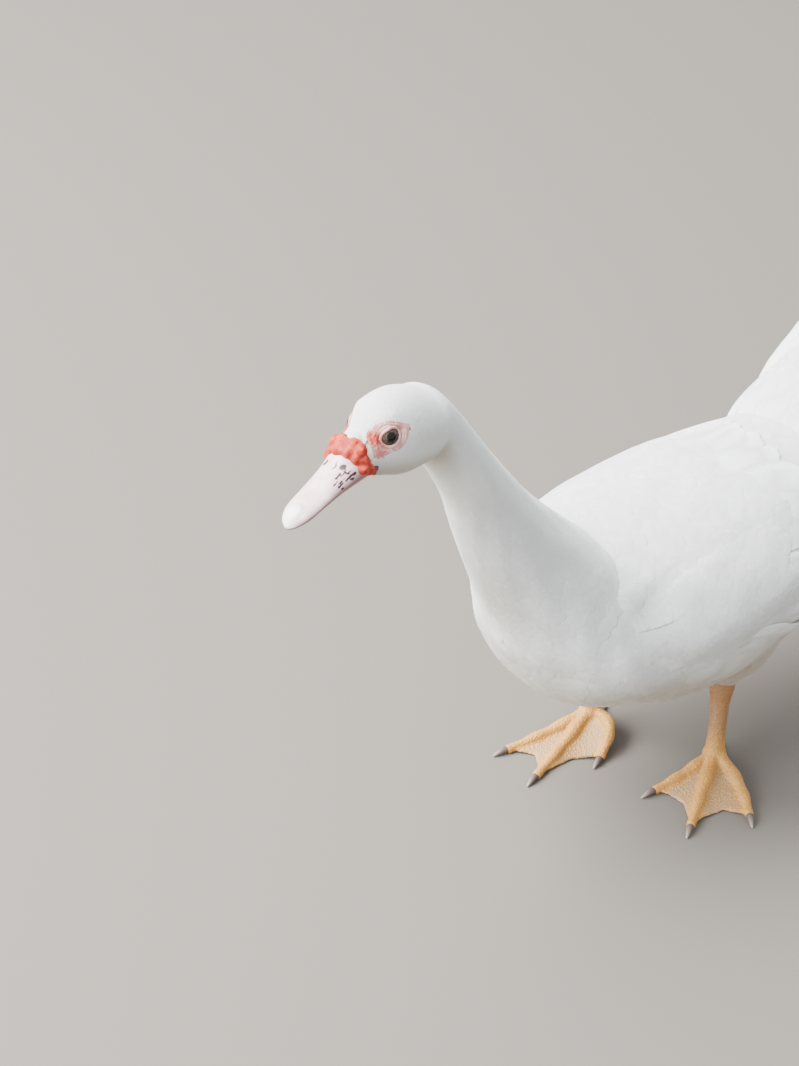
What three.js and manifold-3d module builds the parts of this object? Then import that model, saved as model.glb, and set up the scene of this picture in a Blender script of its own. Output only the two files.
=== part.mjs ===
// A life-size white Muscovy duck hen standing on the floor, still, head turned a little to its left.
// Millimetres, +Z up, the bird faces -Y, its left side is +X.
import * as THREE from 'three';
import Module from 'manifold-3d';

const wasm = await Module();
wasm.setup();

// Driving dimensions
const GAP = 0.3;                 // clearance where two pieces meet face to face
const RING_SIDES = 26;           // points round each body ring
const TRUNK_RINGS = 18;          // rings from the rump to the root of the neck
const HEAD_RINGS = 12;
const HEAD_SCALE = 0.92;         // head and bill against the profile rows below
const HEAD_PLACE = { x: 0, y: -208, z: 317 };
const HEAD_TURN = { yaw: 9, pitch: -4, roll: 6 };   // degrees: to its left, bill up, left eye up
const EYE = { forward: 9, side: 13, up: 1.2, radius: 5.4 };
const WING_THICK = 5;          // wing shell over the flank
const VANE_THICK = 0.8;
const VANE_LIFT = 1.25;          // height from one tail feather to the next
const SHANK_TOP = 52;            // height of the heel joint above the floor
const WEB_THICK = 1.8;

// Rows from the tail root to the top of the neck, in the bird's middle plane.
// back and belly are [y, z] of the upper and lower outline, half is the half width.
const TRUNK = [
  { back: [116, 174], belly: [146, 120], half: 38 },
  { back: [108, 168], belly: [130, 101], half: 46 },
  { back: [94, 162], belly: [96, 79], half: 57 },
  { back: [40, 170], belly: [39, 65], half: 71 },
  { back: [-8, 169], belly: [-18, 61], half: 74 },
  { back: [-43, 166], belly: [-67, 73], half: 67 },
  { back: [-57, 168], belly: [-101, 91], half: 60.5 },
  { back: [-62, 174], belly: [-116, 118], half: 51 },
  { back: [-69, 183], belly: [-125, 146], half: 42 },
  { back: [-84, 199], belly: [-135, 171], half: 32.5 },
  { back: [-105, 222], belly: [-147, 200], half: 24.5 },
  { back: [-122, 245], belly: [-155, 225], half: 20.5 },
  { back: [-138, 269], belly: [-163, 249], half: 19.5 },
];
// Rows of the head in its own frame, origin between the eyes: [forward, up] of the crown line and the chin line.
const HEAD = [
  { crown: [-44, -6], chin: [-28, -39], half: 21.5 },
  { crown: [-31, 4], chin: [-16, -36.5], half: 22 },
  { crown: [-16.5, 12.2], chin: [-3, -34.5], half: 21 },
  { crown: [-1, 14.6], chin: [7, -29], half: 18.6 },
  { crown: [12, 10.2], chin: [15.5, -24], half: 15 },
  { crown: [20.5, 4.6], chin: [22, -19.5], half: 12.6 },
];
// Rows of the closed bill: culmen height, tomium height, keel height and half width at a distance forward.
const BILL = [
  { forward: 22.5, culmen: 4.6, tomium: -13, keel: -19.5, half: 12 },
  { forward: 31, culmen: 0, tomium: -12.6, keel: -19, half: 11.4 },
  { forward: 42, culmen: -5, tomium: -12.8, keel: -18.2, half: 10.5 },
  { forward: 56, culmen: -8.8, tomium: -13.8, keel: -18.2, half: 10 },
  { forward: 68, culmen: -10.8, tomium: -15.2, keel: -18.8, half: 9.2 },
  { forward: 75, culmen: -12.6, tomium: -16.6, keel: -18.8, half: 6.2 },
  { forward: 78, culmen: -15, tomium: -17.6, keel: -18.6, half: 2.7 },
];
// The mantle is the smooth surface that the folded wings lie on. It follows the trunk and runs on past the rump.
const MANTLE = [
  { y: -92, middle: 132, high: 45, wide: 55 },
  { y: -60, middle: 122, high: 46, wide: 65 },
  { y: -10, middle: 115, high: 52, wide: 73.5 },
  { y: 40, middle: 117.5, high: 49.5, wide: 70.5 },
  { y: 90, middle: 121, high: 38.5, wide: 60 },
  { y: 140, middle: 130, high: 31, wide: 52 },
  { y: 190, middle: 141, high: 27, wide: 46 },
  { y: 230, middle: 151, high: 26, wide: 44 },
];

// Materials
const paint = (color, roughness) => new THREE.MeshStandardMaterial({ color, roughness, metalness: 0 });
const plumage = paint(0xe9ebe6, 0.85);
const horn = paint(0xd9c3c4, 0.45);
const caruncle = paint(0xc24a3a, 0.5);
const iris = paint(0x4a3c30, 0.1);
const footSkin = paint(0xc9923a, 0.6);
const clawHorn = paint(0x8c7f78, 0.45);

const group = new THREE.Group();

// Small tools

// Values of a Catmull-Rom curve through rows of numbers, at t from 0 to 1.
function spline(rows, t) {
  const spans = rows.length - 1;
  const at = Math.min(Math.max(t, 0), 1) * spans;
  const i = Math.min(Math.floor(at), spans - 1);
  const f = at - i;
  const row = (k) => (k < 0 ? rows[0].map((v, c) => 2 * v - rows[1][c])
    : k > spans ? rows[spans].map((v, c) => 2 * v - rows[spans - 1][c]) : rows[k]);
  const [a, b, c, d] = [row(i - 1), row(i), row(i + 1), row(i + 2)];
  return b.map((v, k) => 0.5 * (2 * v + (c[k] - a[k]) * f + (2 * a[k] - 5 * v + 4 * c[k] - d[k]) * f * f
    + (3 * v - a[k] - 3 * c[k] + d[k]) * f * f * f));
}

const steps = (n, from = 0, to = 1) => Array.from({ length: n + 1 }, (_, i) => from + ((to - from) * i) / n);
const radians = THREE.MathUtils.degToRad;

// A manifold solid from flat arrays of points and triangles, turned the right way out.
function solidFrom(points, triangles) {
  const vertProperties = new Float32Array(points.flatMap((p) => [p.x, p.y, p.z]));
  const made = new wasm.Manifold(new wasm.Mesh({ numProp: 3, vertProperties, triVerts: new Uint32Array(triangles) }));
  if (made.volume() > 0) return made;
  const turned = triangles.map((v, i) => (i % 3 === 1 ? triangles[i + 1] : i % 3 === 2 ? triangles[i - 1] : v));
  return new wasm.Manifold(new wasm.Mesh({ numProp: 3, vertProperties, triVerts: new Uint32Array(turned) }));
}

// A closed solid through rings of points, with a fan at each end. thin rings are flat vanes: the first half of
// the ring is one face and the second half the other, and both faces are split along the same diagonals.
function loft(rings, thin = false) {
  const n = rings[0].length;
  const points = rings.flat();
  const triangles = [];
  for (let i = 0; i + 1 < rings.length; i += 1) {
    for (let j = 0; j < n; j += 1) {
      const [a, b] = [i * n + j, i * n + ((j + 1) % n)];
      const [c, d] = [a + n, b + n];
      if (thin && j >= n / 2) triangles.push(a, b, c, b, d, c);
      else triangles.push(a, b, d, a, d, c);
    }
  }
  const middle = (ring) => ring.reduce((sum, p) => sum.add(p), new THREE.Vector3()).divideScalar(n);
  const [head, tail] = [points.length, points.length + 1];
  points.push(middle(rings[0]), middle(rings[rings.length - 1]));
  const last = (rings.length - 1) * n;
  for (let j = 0; j < n; j += 1) {
    const k = (j + 1) % n;
    triangles.push(head, k, j, tail, last + j, last + k);
  }
  return solidFrom(points, triangles);
}

// A three.js geometry as a solid, after a matrix has placed it.
function solidOf(geometry, matrix = new THREE.Matrix4()) {
  const placed = geometry.clone().applyMatrix4(matrix);
  const seen = new Map();
  const points = [];
  const position = placed.getAttribute('position');
  const number = (i) => {
    const p = new THREE.Vector3().fromBufferAttribute(position, i);
    const key = `${p.x.toFixed(3)},${p.y.toFixed(3)},${p.z.toFixed(3)}`;
    if (!seen.has(key)) seen.set(key, points.push(p) - 1);
    return seen.get(key);
  };
  const index = placed.index ? [...placed.index.array] : steps(position.count - 1, 0, position.count - 1);
  const corners = index.map(number);
  const triangles = [];
  for (let i = 0; i < corners.length; i += 3) {
    const [a, b, c] = corners.slice(i, i + 3);
    if (a !== b && b !== c && a !== c) triangles.push(a, b, c);
  }
  return solidFrom(points, triangles);
}

const union = (solids) => solids.reduce((all, s) => all.add(s));

// Adds one node: the largest closed surface of a solid.
function addNode(name, solid, material) {
  const bodies = solid.simplify(0.03).decompose().sort((a, b) => b.volume() - a.volume());
  const mesh = bodies[0].getMesh();
  const geometry = new THREE.BufferGeometry();
  const xyz = new Float32Array(mesh.numVert * 3);
  for (let i = 0; i < mesh.numVert; i += 1) {
    xyz.set(mesh.vertProperties.subarray(i * mesh.numProp, i * mesh.numProp + 3), i * 3);
  }
  geometry.setAttribute('position', new THREE.BufferAttribute(xyz, 3));
  geometry.setIndex(new THREE.BufferAttribute(mesh.triVerts, 1));
  const node = new THREE.Mesh(geometry, material);
  node.name = name;
  group.add(node);
}

// The head's own frame: x to its left, y forward, z up, at full size in the bird's frame.
const headFrame = new THREE.Matrix4()
  .makeTranslation(HEAD_PLACE.x, HEAD_PLACE.y, HEAD_PLACE.z)
  .multiply(new THREE.Matrix4().makeRotationZ(radians(HEAD_TURN.yaw)))
  .multiply(new THREE.Matrix4().makeRotationX(radians(-HEAD_TURN.pitch)))
  .multiply(new THREE.Matrix4().makeRotationY(radians(-HEAD_TURN.roll)))
  .multiply(new THREE.Matrix4().makeScale(HEAD_SCALE, HEAD_SCALE, HEAD_SCALE));
// A point given as side (to the bird's left), forward and up in the head.
const inHead = (side, forward, up) => new THREE.Vector3(side, -forward, up).applyMatrix4(headFrame);

// Trunk, neck and head are one smooth body, parted where a person would name its parts.
const headSide = inHead(1, 0, 0).sub(inHead(0, 0, 0));
const BODY_ROWS = [
  ...TRUNK.map(({ back, belly, half }) => [0, back[0], back[1], 0, belly[0], belly[1], half, 0, 0]),
  ...HEAD.map(({ crown, chin, half }) => [
    ...inHead(0, ...crown).toArray(), ...inHead(0, ...chin).toArray(), ...headSide.clone().multiplyScalar(half).toArray(),
  ]),
];
const rowShare = (row) => row / (BODY_ROWS.length - 1);

// One ring of the body at t, grown outwards by a few tenths where a neighbour is cut to it.
function bodyRing(t, grow = 0) {
  const v = spline(BODY_ROWS, t);
  const [top, bottom, side] = [0, 3, 6].map((k) => new THREE.Vector3(v[k], v[k + 1], v[k + 2]));
  const centre = top.clone().add(bottom).multiplyScalar(0.5);
  const rise = top.sub(centre);
  rise.setLength(rise.length() + grow);
  side.setLength(side.length() + grow);
  return steps(RING_SIDES - 1, 0, RING_SIDES - 1).map((j) => {
    const a = (2 * Math.PI * j) / RING_SIDES;
    return centre.clone().addScaledVector(rise, Math.cos(a)).addScaledVector(side, Math.sin(a));
  });
}
const bodyPart = (from, to, rings, grow = 0) => loft(steps(rings, from, to).map((t) => bodyRing(t, grow)));

const CUT = 0.0011;              // half the share of the body's length that each parting cut takes
const NECK_BASE = rowShare(7.4);
const NECK_MIDDLE = rowShare(9.8);
const NECK_TOP = rowShare(12.3);

// Head

const eyeCentre = (side) => inHead(side * EYE.side, EYE.forward, EYE.up);
const ball = (centre, radius, detail) => solidOf(
  new THREE.SphereGeometry(radius, detail, Math.round(detail * 0.6)),
  new THREE.Matrix4().setPosition(centre).multiply(new THREE.Matrix4().makeRotationZ(0.2)),
);

// A lid is a ring of skin round the eye, longer than it is high, drawn out at the rear corner.
function lid(side) {
  const outward = headSide.clone().normalize().multiplyScalar(side);
  const forward = inHead(0, 1, 0).sub(inHead(0, 0, 0)).normalize();
  const up = inHead(0, 0, 1).sub(inHead(0, 0, 0)).normalize();
  const centre = eyeCentre(side).addScaledVector(outward, 2.9);
  const rings = steps(16).slice(0, -1).map((t) => {
    const a = 2 * Math.PI * t;
    const reach = new THREE.Vector3().addScaledVector(forward, Math.cos(a)).addScaledVector(up, Math.sin(a));
    const at = centre.clone()
      .addScaledVector(forward, Math.cos(a) * (Math.cos(a) < 0 ? 5.7 : 5))
      .addScaledVector(up, Math.sin(a) * 4.2);
    return steps(4, 0, 4).map((k) => {
      const b = (2 * Math.PI * k) / 5;
      return at.clone().addScaledVector(reach, 1.2 * Math.cos(b)).addScaledVector(outward, 1.2 * Math.sin(b));
    });
  });
  const n = 5;
  const triangles = [];
  rings.forEach((_, i) => {
    const next = ((i + 1) % rings.length) * n;
    for (let j = 0; j < n; j += 1) {
      const k = (j + 1) % n;
      triangles.push(i * n + j, i * n + k, next + k, i * n + j, next + k, next + j);
    }
  });
  return solidFrom(rings.flat(), triangles);
}

function makeHead() {
  let head = bodyPart(NECK_TOP + CUT, 1, HEAD_RINGS).add(lid(1)).add(lid(-1));
  for (const side of [1, -1]) {
    head = head.subtract(ball(eyeCentre(side), EYE.radius + GAP, 12));
    addNode(side > 0 ? 'eye_left' : 'eye_right', ball(eyeCentre(side), EYE.radius, 12), iris);
  }
  return head;
}

// One half of the bill, above or below the line of the mouth.
function billHalf(upper, grow = 0, sides = 16) {
  const rows = BILL.map((r) => [r.forward, r.culmen, r.tomium, r.keel, r.half]);
  return loft(steps(12).map((t) => {
    const [forward, culmen, tomium, keel, half] = spline(rows, t);
    const reach = upper ? culmen - tomium : keel - tomium;
    const wide = half * (upper ? 1 : 0.88) + grow;
    return steps(sides - 1, 0, sides - 1).map((j) => {
      const a = (2 * Math.PI * j) / sides;
      const open = Math.max(Math.cos(a), 0) ** 0.85;
      const rise = Math.sign(reach) * (GAP / 2 / HEAD_SCALE - (Math.cos(a) < 0 ? grow : 0) + grow * open);
      return inHead(Math.sin(a) * wide, forward + GAP, tomium + reach * open + rise);
    });
  }));
}

function makeBill() {
  const inBill = (side, forward, up) => headFrame.clone().multiply(
    new THREE.Matrix4().makeTranslation(side, -forward, up),
  );
  const nostril = (side) => solidOf(new THREE.SphereGeometry(1, 8, 6).scale(1.7, 3.6, 1.5), inBill(side * 6.6, 38, -3.6));
  const nail = solidOf(new THREE.SphereGeometry(1, 10, 6).scale(3.8, 6.2, 2.2), inBill(0, 72, -13.2));
  const lower = billHalf(false);
  const upper = billHalf(true).add(nail).subtract(billHalf(false, GAP)).subtract(nostril(1)).subtract(nostril(-1));
  addNode('bill_upper', upper, horn);
  addNode('bill_lower', lower, horn);
}

// Red caruncles: a knob saddled over the root of the bill, a lobe down each side to the corner of the mouth
// and a bumpy strap along the lores to the eye. Each is [side, forward, up, radius] in the head.
const BULBS = [
  [0, 23.6, 4.6, 4.2], [3.8, 22.2, 4.8, 4], [-3.8, 22.2, 4.8, 4], [7, 24, 1.6, 4], [-7, 24, 1.6, 4],
  [2.6, 28, 1.8, 3.2], [-2.6, 28, 1.8, 3.2], [9.4, 25.6, -2.6, 3.6], [-9.4, 25.6, -2.6, 3.6],
  [10.8, 26.4, -7.4, 3.5], [-10.8, 26.4, -7.4, 3.5], [11.4, 23.6, -11.4, 3], [-11.4, 23.6, -11.4, 3],
  [8.8, 20.4, 3, 3], [-8.8, 20.4, 3, 3], [11.6, 17.2, 1.6, 2.6], [-11.6, 17.2, 1.6, 2.6],
];

function makeCaruncles() {
  const bulbs = BULBS.map(([side, forward, up, radius], i) => solidOf(
    new THREE.IcosahedronGeometry(radius * HEAD_SCALE, 1),
    new THREE.Matrix4().setPosition(inHead(side, forward, up)).multiply(new THREE.Matrix4().makeRotationX(i)),
  ));
  const clear = [bodyPart(NECK_TOP + CUT, 1, HEAD_RINGS, GAP), lid(1), lid(-1), billHalf(true, GAP), billHalf(false, GAP)];
  let knobs = union(bulbs);
  clear.forEach((neighbour) => {
    knobs = knobs.subtract(neighbour);
  });
  return knobs;
}

// Wings

// A point on the mantle: y along the bird, arc in millimetres round from the middle of the back, lift outwards.
function onMantle(y, arc, lift) {
  const rows = MANTLE.map((r) => [r.y, r.middle, r.high, r.wide]);
  let [low, high] = [0, 1];
  for (let k = 0; k < 24; k += 1) {
    const t = (low + high) / 2;
    if (spline(rows, t)[0] < y) low = t;
    else high = t;
  }
  const [, middle, tall, wide] = spline(rows, low);
  const a = arc / (0.5 * (tall + wide));
  return new THREE.Vector3((wide + lift) * Math.sin(a), y, middle + (tall + lift) * Math.cos(a));
}

// A feather vane on the mantle from a root [y, arc] to a tip [y, arc]. lift is its height over the mantle at the
// root and the tip, and slant raises one edge over the next feather. side is 1 on the left and -1 on the right.
function vane(side, root, tip, width, lift, slant, rings = 5) {
  const span = Math.hypot(tip[0] - root[0], tip[1] - root[1]);
  const across = [-(tip[1] - root[1]) / span, (tip[0] - root[0]) / span];
  return loft(steps(rings).map((t) => {
    const half = 0.5 * width * Math.min(1, 0.55 + 1.6 * t) * Math.sqrt(Math.max(1 - ((t - 0.45) / 0.56) ** 4, 0.03));
    const y = root[0] + (tip[0] - root[0]) * t;
    const arc = root[1] + (tip[1] - root[1]) * t;
    const height = lift[0] + (lift[1] - lift[0]) * t;
    const thick = VANE_THICK * (1 - 0.3 * t);
    const point = (u, h) => {
      const p = onMantle(y + across[0] * u, arc + across[1] * u, height + h + (slant * u) / 10);
      p.x *= side;
      return p;
    };
    return [point(-half, 0), point(0, thick / 2), point(half, 0), point(0, -thick / 2)];
  }), true);
}

// A tier of overlapping vanes: root and tip slide from their first to their last place.
function tier(side, { count, root, tip, width, lift, slant }) {
  const mix = (a, b, t) => [a[0] + (b[0] - a[0]) * t, a[1] + (b[1] - a[1]) * t];
  return steps(count - 1).map((t) => vane(
    side, mix(root[0], root[1], t), mix(tip[0], tip[1], t), width[0] + (width[1] - width[0]) * t, lift, slant,
  ));
}

// The smooth front of the wing: a shell over the mantle from the shoulder to the root of the long feathers.
function wingShell(side) {
  const rows = steps(11).map((t) => {
    const y = -84 + 186 * t;
    const open = Math.sqrt(Math.max(1 - (2 * t - 1) ** 4, 0.02));
    const upper = 26 - 6 * t + 16 * (1 - open);
    const lower = 34 + (72 - 22 * t) * open;
    const thick = GAP * 2 + (WING_THICK - 2.2 * t) * open;
    const outer = steps(7).map((s) => onMantle(y, upper + (lower - upper) * s, GAP * 2 + (thick - GAP * 2)
      * Math.sqrt(Math.max(1 - (2 * s - 1) ** 4, 0.05))));
    const inner = steps(7).map((s) => onMantle(y, lower + (upper - lower) * s, GAP * 2 - 0.2));
    return [...outer, ...inner].map((p) => new THREE.Vector3(p.x * side, p.y, p.z));
  });
  return loft(rows);
}

// Feather tiers of one wing, [y, arc] in millimetres on the mantle.
const TIERS = {
  coverts: {
    count: 7, root: [[28, 30], [14, 92]], tip: [[84, 34], [66, 98]], width: [20, 17], lift: [3.2, 6.4], slant: -1.2,
  },
  secondaries: {
    count: 7, root: [[50, 26], [46, 92]], tip: [[136, 48], [104, 94]], width: [24, 19], lift: [1.4, 4.4], slant: -1.2,
  },
  primaries: {
    count: 5, root: [[80, 44], [84, 70]], tip: [[212, 40], [172, 58]], width: [17, 14], lift: [0.9, 1], slant: -1.5,
  },
};

function makeWing(side) {
  const trunk = bodyPart(0, NECK_BASE - CUT, TRUNK_RINGS, GAP);
  const wing = union([wingShell(side), ...Object.values(TIERS).flatMap((t) => tier(side, t))]);
  return wing.subtract(trunk).subtract(tailRoot(2 * GAP));
}

// Tail

// Height of the long tail feathers' surface above the floor at y.
const tailPlane = (y) => 163 + 0.34 * (y - 108) - 0.0004 * (y - 108) ** 2;

// The fleshy root of the tail with its coverts, which runs on from the trunk and thins out among the feathers.
const TAIL_ROOT = [
  { back: [116, 174], belly: [146, 120], half: 38 },
  { back: [139, 184], belly: [167, 143], half: 40 },
  { back: [166, 190], belly: [186, 162], half: 38 },
  { back: [194, 196], belly: [206, 179], half: 32 },
  { back: [222, 200], belly: [227, 191], half: 20 },
];
const TAIL_FAN = { count: 11, y: 103, root: 33, spread: 13, length: [99, 157], width: 25, roof: 0.0018 };

// A point of the tail: how far back, how far to the left, how high over the fan. The fan droops to its sides.
function onTail(y, x, lift) {
  return new THREE.Vector3(x, y - 0.42 * lift, tailPlane(y) - TAIL_FAN.roof * x * x + 0.9 * lift);
}

function tailFeather(s) {
  const turn = radians(TAIL_FAN.spread * s);
  const reach = TAIL_FAN.length[1] + (TAIL_FAN.length[0] - TAIL_FAN.length[1]) * Math.abs(s) ** 2.2;
  const layer = (1 - Math.abs(s)) * VANE_LIFT * (TAIL_FAN.count - 1) * 0.4;
  return loft(steps(5).map((t) => {
    const along = reach * t;
    const [x, y] = [TAIL_FAN.root * s + Math.sin(turn) * along, TAIL_FAN.y + Math.cos(turn) * along];
    const half = 0.5 * TAIL_FAN.width * Math.min(1, 0.5 + 1.4 * t) * Math.sqrt(Math.max(1 - ((t - 0.4) / 0.61) ** 6, 0.03));
    const thick = VANE_THICK * (1 - 0.3 * t);
    const edge = (u, h) => onTail(y - Math.sin(turn) * u, x + Math.cos(turn) * u, layer + h + Math.sign(s) * u * 0.05);
    return [edge(-half, 0), edge(0, thick / 2), edge(half, 0), edge(0, -thick / 2)];
  }), true);
}

function tailRoot(grow = 0) {
  const rows = TAIL_ROOT.map(({ back, belly, half }) => [...back, ...belly, half]);
  return loft(steps(10).map((t) => {
    const [topY, topZ, lowY, lowZ, half] = spline(rows, t);
    return steps(RING_SIDES - 1, 0, RING_SIDES - 1).map((j) => {
      const a = (2 * Math.PI * j) / RING_SIDES;
      const rise = (Math.cos(a) / 2) * (1 + (2 * grow) / Math.hypot(topY - lowY, topZ - lowZ));
      return new THREE.Vector3(
        (half + grow) * Math.sin(a), (topY + lowY) / 2 + (topY - lowY) * rise, (topZ + lowZ) / 2 + (topZ - lowZ) * rise,
      );
    });
  }));
}

function makeTail() {
  const feathers = steps(TAIL_FAN.count - 1, -1, 1).map(tailFeather);
  return union([tailRoot(), ...feathers]).subtract(bodyPart(0, NECK_BASE - CUT, TRUNK_RINGS, GAP));
}

// Legs and feet

// Each toe runs from the foot's joint to a claw tip [x, y] on the floor; arch lifts its middle and bow [x, y] bends it aside.
const LEGS = {
  left: {
    heel: [37, 13, SHANK_TOP], joint: [43, 4, 9],
    toes: {
      inner: { tip: [35.5, -46], arch: 1 }, middle: { tip: [75.5, -51], arch: 1 }, outer: { tip: [95, -16], arch: 1, bow: [4, 3] },
    },
    hind: { tip: [31, 21], arch: 0 },
  },
  right: {
    heel: [-36, -12, SHANK_TOP], joint: [-30, -22, 9],
    toes: {
      inner: { tip: [4.5, -45], arch: 6, bow: [6, 6] }, middle: { tip: [-14, -86.5], arch: 1 }, outer: { tip: [-45.5, -83], arch: 1 },
    },
    hind: { tip: [-38, 2], arch: 0 },
  },
};
const CLAW = 9;                  // claw length
const floorCut = () => solidOf(
  new THREE.BoxGeometry(900, 900, 40), new THREE.Matrix4().makeTranslation(0, 0, -20),
);

// A tube through [x, y, z, radius] rows, with rings that stand square to its path.
function limb(rows, rings, sides = 12, round = true) {
  const path = steps(rings).map((t) => spline(rows, t));
  const at = (v) => new THREE.Vector3(v[0], v[1], v[2]);
  const list = path.map((v, i) => {
    const way = at(path[Math.min(i + 1, rings)]).sub(at(path[Math.max(i - 1, 0)])).normalize();
    const sideways = new THREE.Vector3(0, 0, 1).cross(way);
    if (sideways.length() < 0.5) sideways.set(1, 0, 0);
    sideways.addScaledVector(way, -sideways.dot(way)).normalize();
    const above = way.clone().cross(sideways);
    return steps(sides - 1, 0, sides - 1).map((j) => {
      const a = (2 * Math.PI * j) / sides;
      return at(v).addScaledVector(sideways, v[3] * Math.sin(a)).addScaledVector(above, v[3] * Math.cos(a));
    });
  });
  return round ? loft(list) : list;
}

// The rows of a toe from the joint towards its claw: three pads with knuckles between them.
function toeRows(joint, { tip, arch, bow = [0, 0] }, thick) {
  const span = Math.hypot(tip[0] - joint[0], tip[1] - joint[1]) - CLAW;
  const way = [(tip[0] - joint[0]) / (span + CLAW), (tip[1] - joint[1]) / (span + CLAW)];
  return steps(9).map((t) => {
    const knuckle = 1 + 0.13 * Math.cos(t * 6 * Math.PI);
    const radius = thick * (1 - 0.36 * t) * knuckle;
    const high = (joint[2] - 1) * (1 - t) ** 2.6 + 0.7 * thick * (1 - 0.3 * t) + arch * Math.sin(Math.PI * t);
    const bend = Math.sin(Math.PI * t ** 0.8);
    return [joint[0] + way[0] * span * t + bow[0] * bend, joint[1] + way[1] * span * t + bow[1] * bend, high, radius];
  });
}

// The webs: a thin skin between neighbouring toes, hollowed at its front edge.
function web(joint, first, second) {
  const a = toeRows(joint, first, 4.4);
  const b = toeRows(joint, second, 4.4);
  const rings = steps(5, 0.06, 0.93).map((t) => {
    const [p, q] = [spline(a, t), spline(b, t)];
    const height = Math.max(p[2], q[2]) * 0.5;
    const line = steps(4).map((s) => {
      const sag = 1 - 0.26 * t * t * Math.sin(Math.PI * s);
      const x = joint[0] + (p[0] + (q[0] - p[0]) * s - joint[0]) * sag;
      const y = joint[1] + (p[1] + (q[1] - p[1]) * s - joint[1]) * sag;
      const z = p[2] + (q[2] - p[2]) * s - height * Math.sin(Math.PI * s) * t;
      return [x, y, Math.max(z, WEB_THICK * 0.7)];
    });
    return [
      ...line.map(([x, y, z]) => new THREE.Vector3(x, y, z + WEB_THICK / 2)),
      ...line.reverse().map(([x, y, z]) => new THREE.Vector3(x, y, z - WEB_THICK / 2)),
    ];
  });
  return loft(rings);
}

function makeLeg(name) {
  const { heel, joint, toes, hind } = LEGS[name];
  const { inner, middle, outer } = toes;
  const between = (t) => [0, 1, 2].map((k) => heel[k] + (joint[k] - heel[k]) * t);
  const shank = (grow = 0) => limb([
    [-0.16, 5], [-0.06, 7.4], [0.06, 7.2], [0.25, 5.6], [0.6, 5], [0.88, 5.6], [1.04, 6.4],
  ].map(([t, radius]) => [...between(t - grow * 0.04), radius + grow]), 10, 12);
  const parting = solidOf(
    new THREE.BoxGeometry(60, 60, 60), new THREE.Matrix4().makeTranslation(joint[0], joint[1], joint[2] + 5 + GAP - 30),
  );
  const ankle = ball(new THREE.Vector3(...joint), 7, 10);
  const toeSolids = [inner, middle, outer].map((toe) => limb(toeRows(joint, toe, 4.6), 9, 7));
  const hindBase = [joint[0], joint[1] + 3, joint[2] + 4];
  const hindToe = limb(toeRows(hindBase, hind, 3.2), 5, 7);
  const foot = union([ankle, ...toeSolids, hindToe, web(joint, inner, middle), web(joint, middle, outer)])
    .subtract(solidOf(
      new THREE.BoxGeometry(60, 60, 60),
      new THREE.Matrix4().makeTranslation(joint[0], joint[1], joint[2] + 5 + 30),
    ))
    .subtract(floorCut());
  const leg = shank().subtract(parting);
  const flank = limb([
    [heel[0] * 1.12, heel[1] + 6, 112, 27], [heel[0] * 1.12, heel[1] + 5, 96, 25],
    [heel[0] * 1.08, heel[1] + 4, 80, 21], [heel[0] * 1.02, heel[1] + 2, 66, 14], [heel[0], heel[1] + 0.5, 57, 8.6],
  ], 8, 16);
  addNode(`thigh_${name}`, flank.subtract(bodyPart(0, NECK_BASE - CUT, TRUNK_RINGS, GAP)).subtract(shank(2 * GAP)), plumage);
  addNode(`leg_${name}`, leg, footSkin);
  addNode(`foot_${name}`, foot, footSkin);
  const all = { inner, middle, outer, hind };
  Object.entries(all).forEach(([toeName, toe]) => {
    const rows = toeRows(toeName === 'hind' ? hindBase : joint, toe, toeName === 'hind' ? 3.2 : 4.6);
    const end = rows[rows.length - 1];
    const before = rows[rows.length - 2];
    const way = new THREE.Vector3(end[0] - before[0], end[1] - before[1], 0).normalize();
    const reach = (far, low, thick) => [end[0] + way.x * far, end[1] + way.y * far, end[2] - low, end[3] * thick];
    const low = end[2] - 0.9;
    const claw = limb([
      reach(GAP, 0, 0.86), reach(CLAW * 0.35, -0.5, 0.78), reach(CLAW * 0.7, low * 0.35, 0.5), reach(CLAW, low, 0.16),
    ], 3, 6);
    addNode(`claw_${name}_${toeName}`, claw.subtract(foot).subtract(floorCut()), clawHorn);
  });
}

addNode('torso', bodyPart(0, NECK_BASE - CUT, TRUNK_RINGS), plumage);
addNode('neck_lower', bodyPart(NECK_BASE + CUT, NECK_MIDDLE - CUT, 8), plumage);
addNode('neck_upper', bodyPart(NECK_MIDDLE + CUT, NECK_TOP - CUT, 7), plumage);
addNode('head', makeHead(), plumage);
makeBill();
addNode('caruncles', makeCaruncles(), caruncle);
addNode('wing_left', makeWing(1), plumage);
addNode('wing_right', makeWing(-1), plumage);
addNode('tail', makeTail(), plumage);
makeLeg('left');
makeLeg('right');

// The origin is moved from between the feet to the middle of the whole model's footprint.
const extent = new THREE.Box3().setFromObject(group);
const middle = extent.getCenter(new THREE.Vector3());
group.children.forEach((node) => node.geometry.translate(-middle.x, -middle.y, 0));

export default group;
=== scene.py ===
import math

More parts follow.
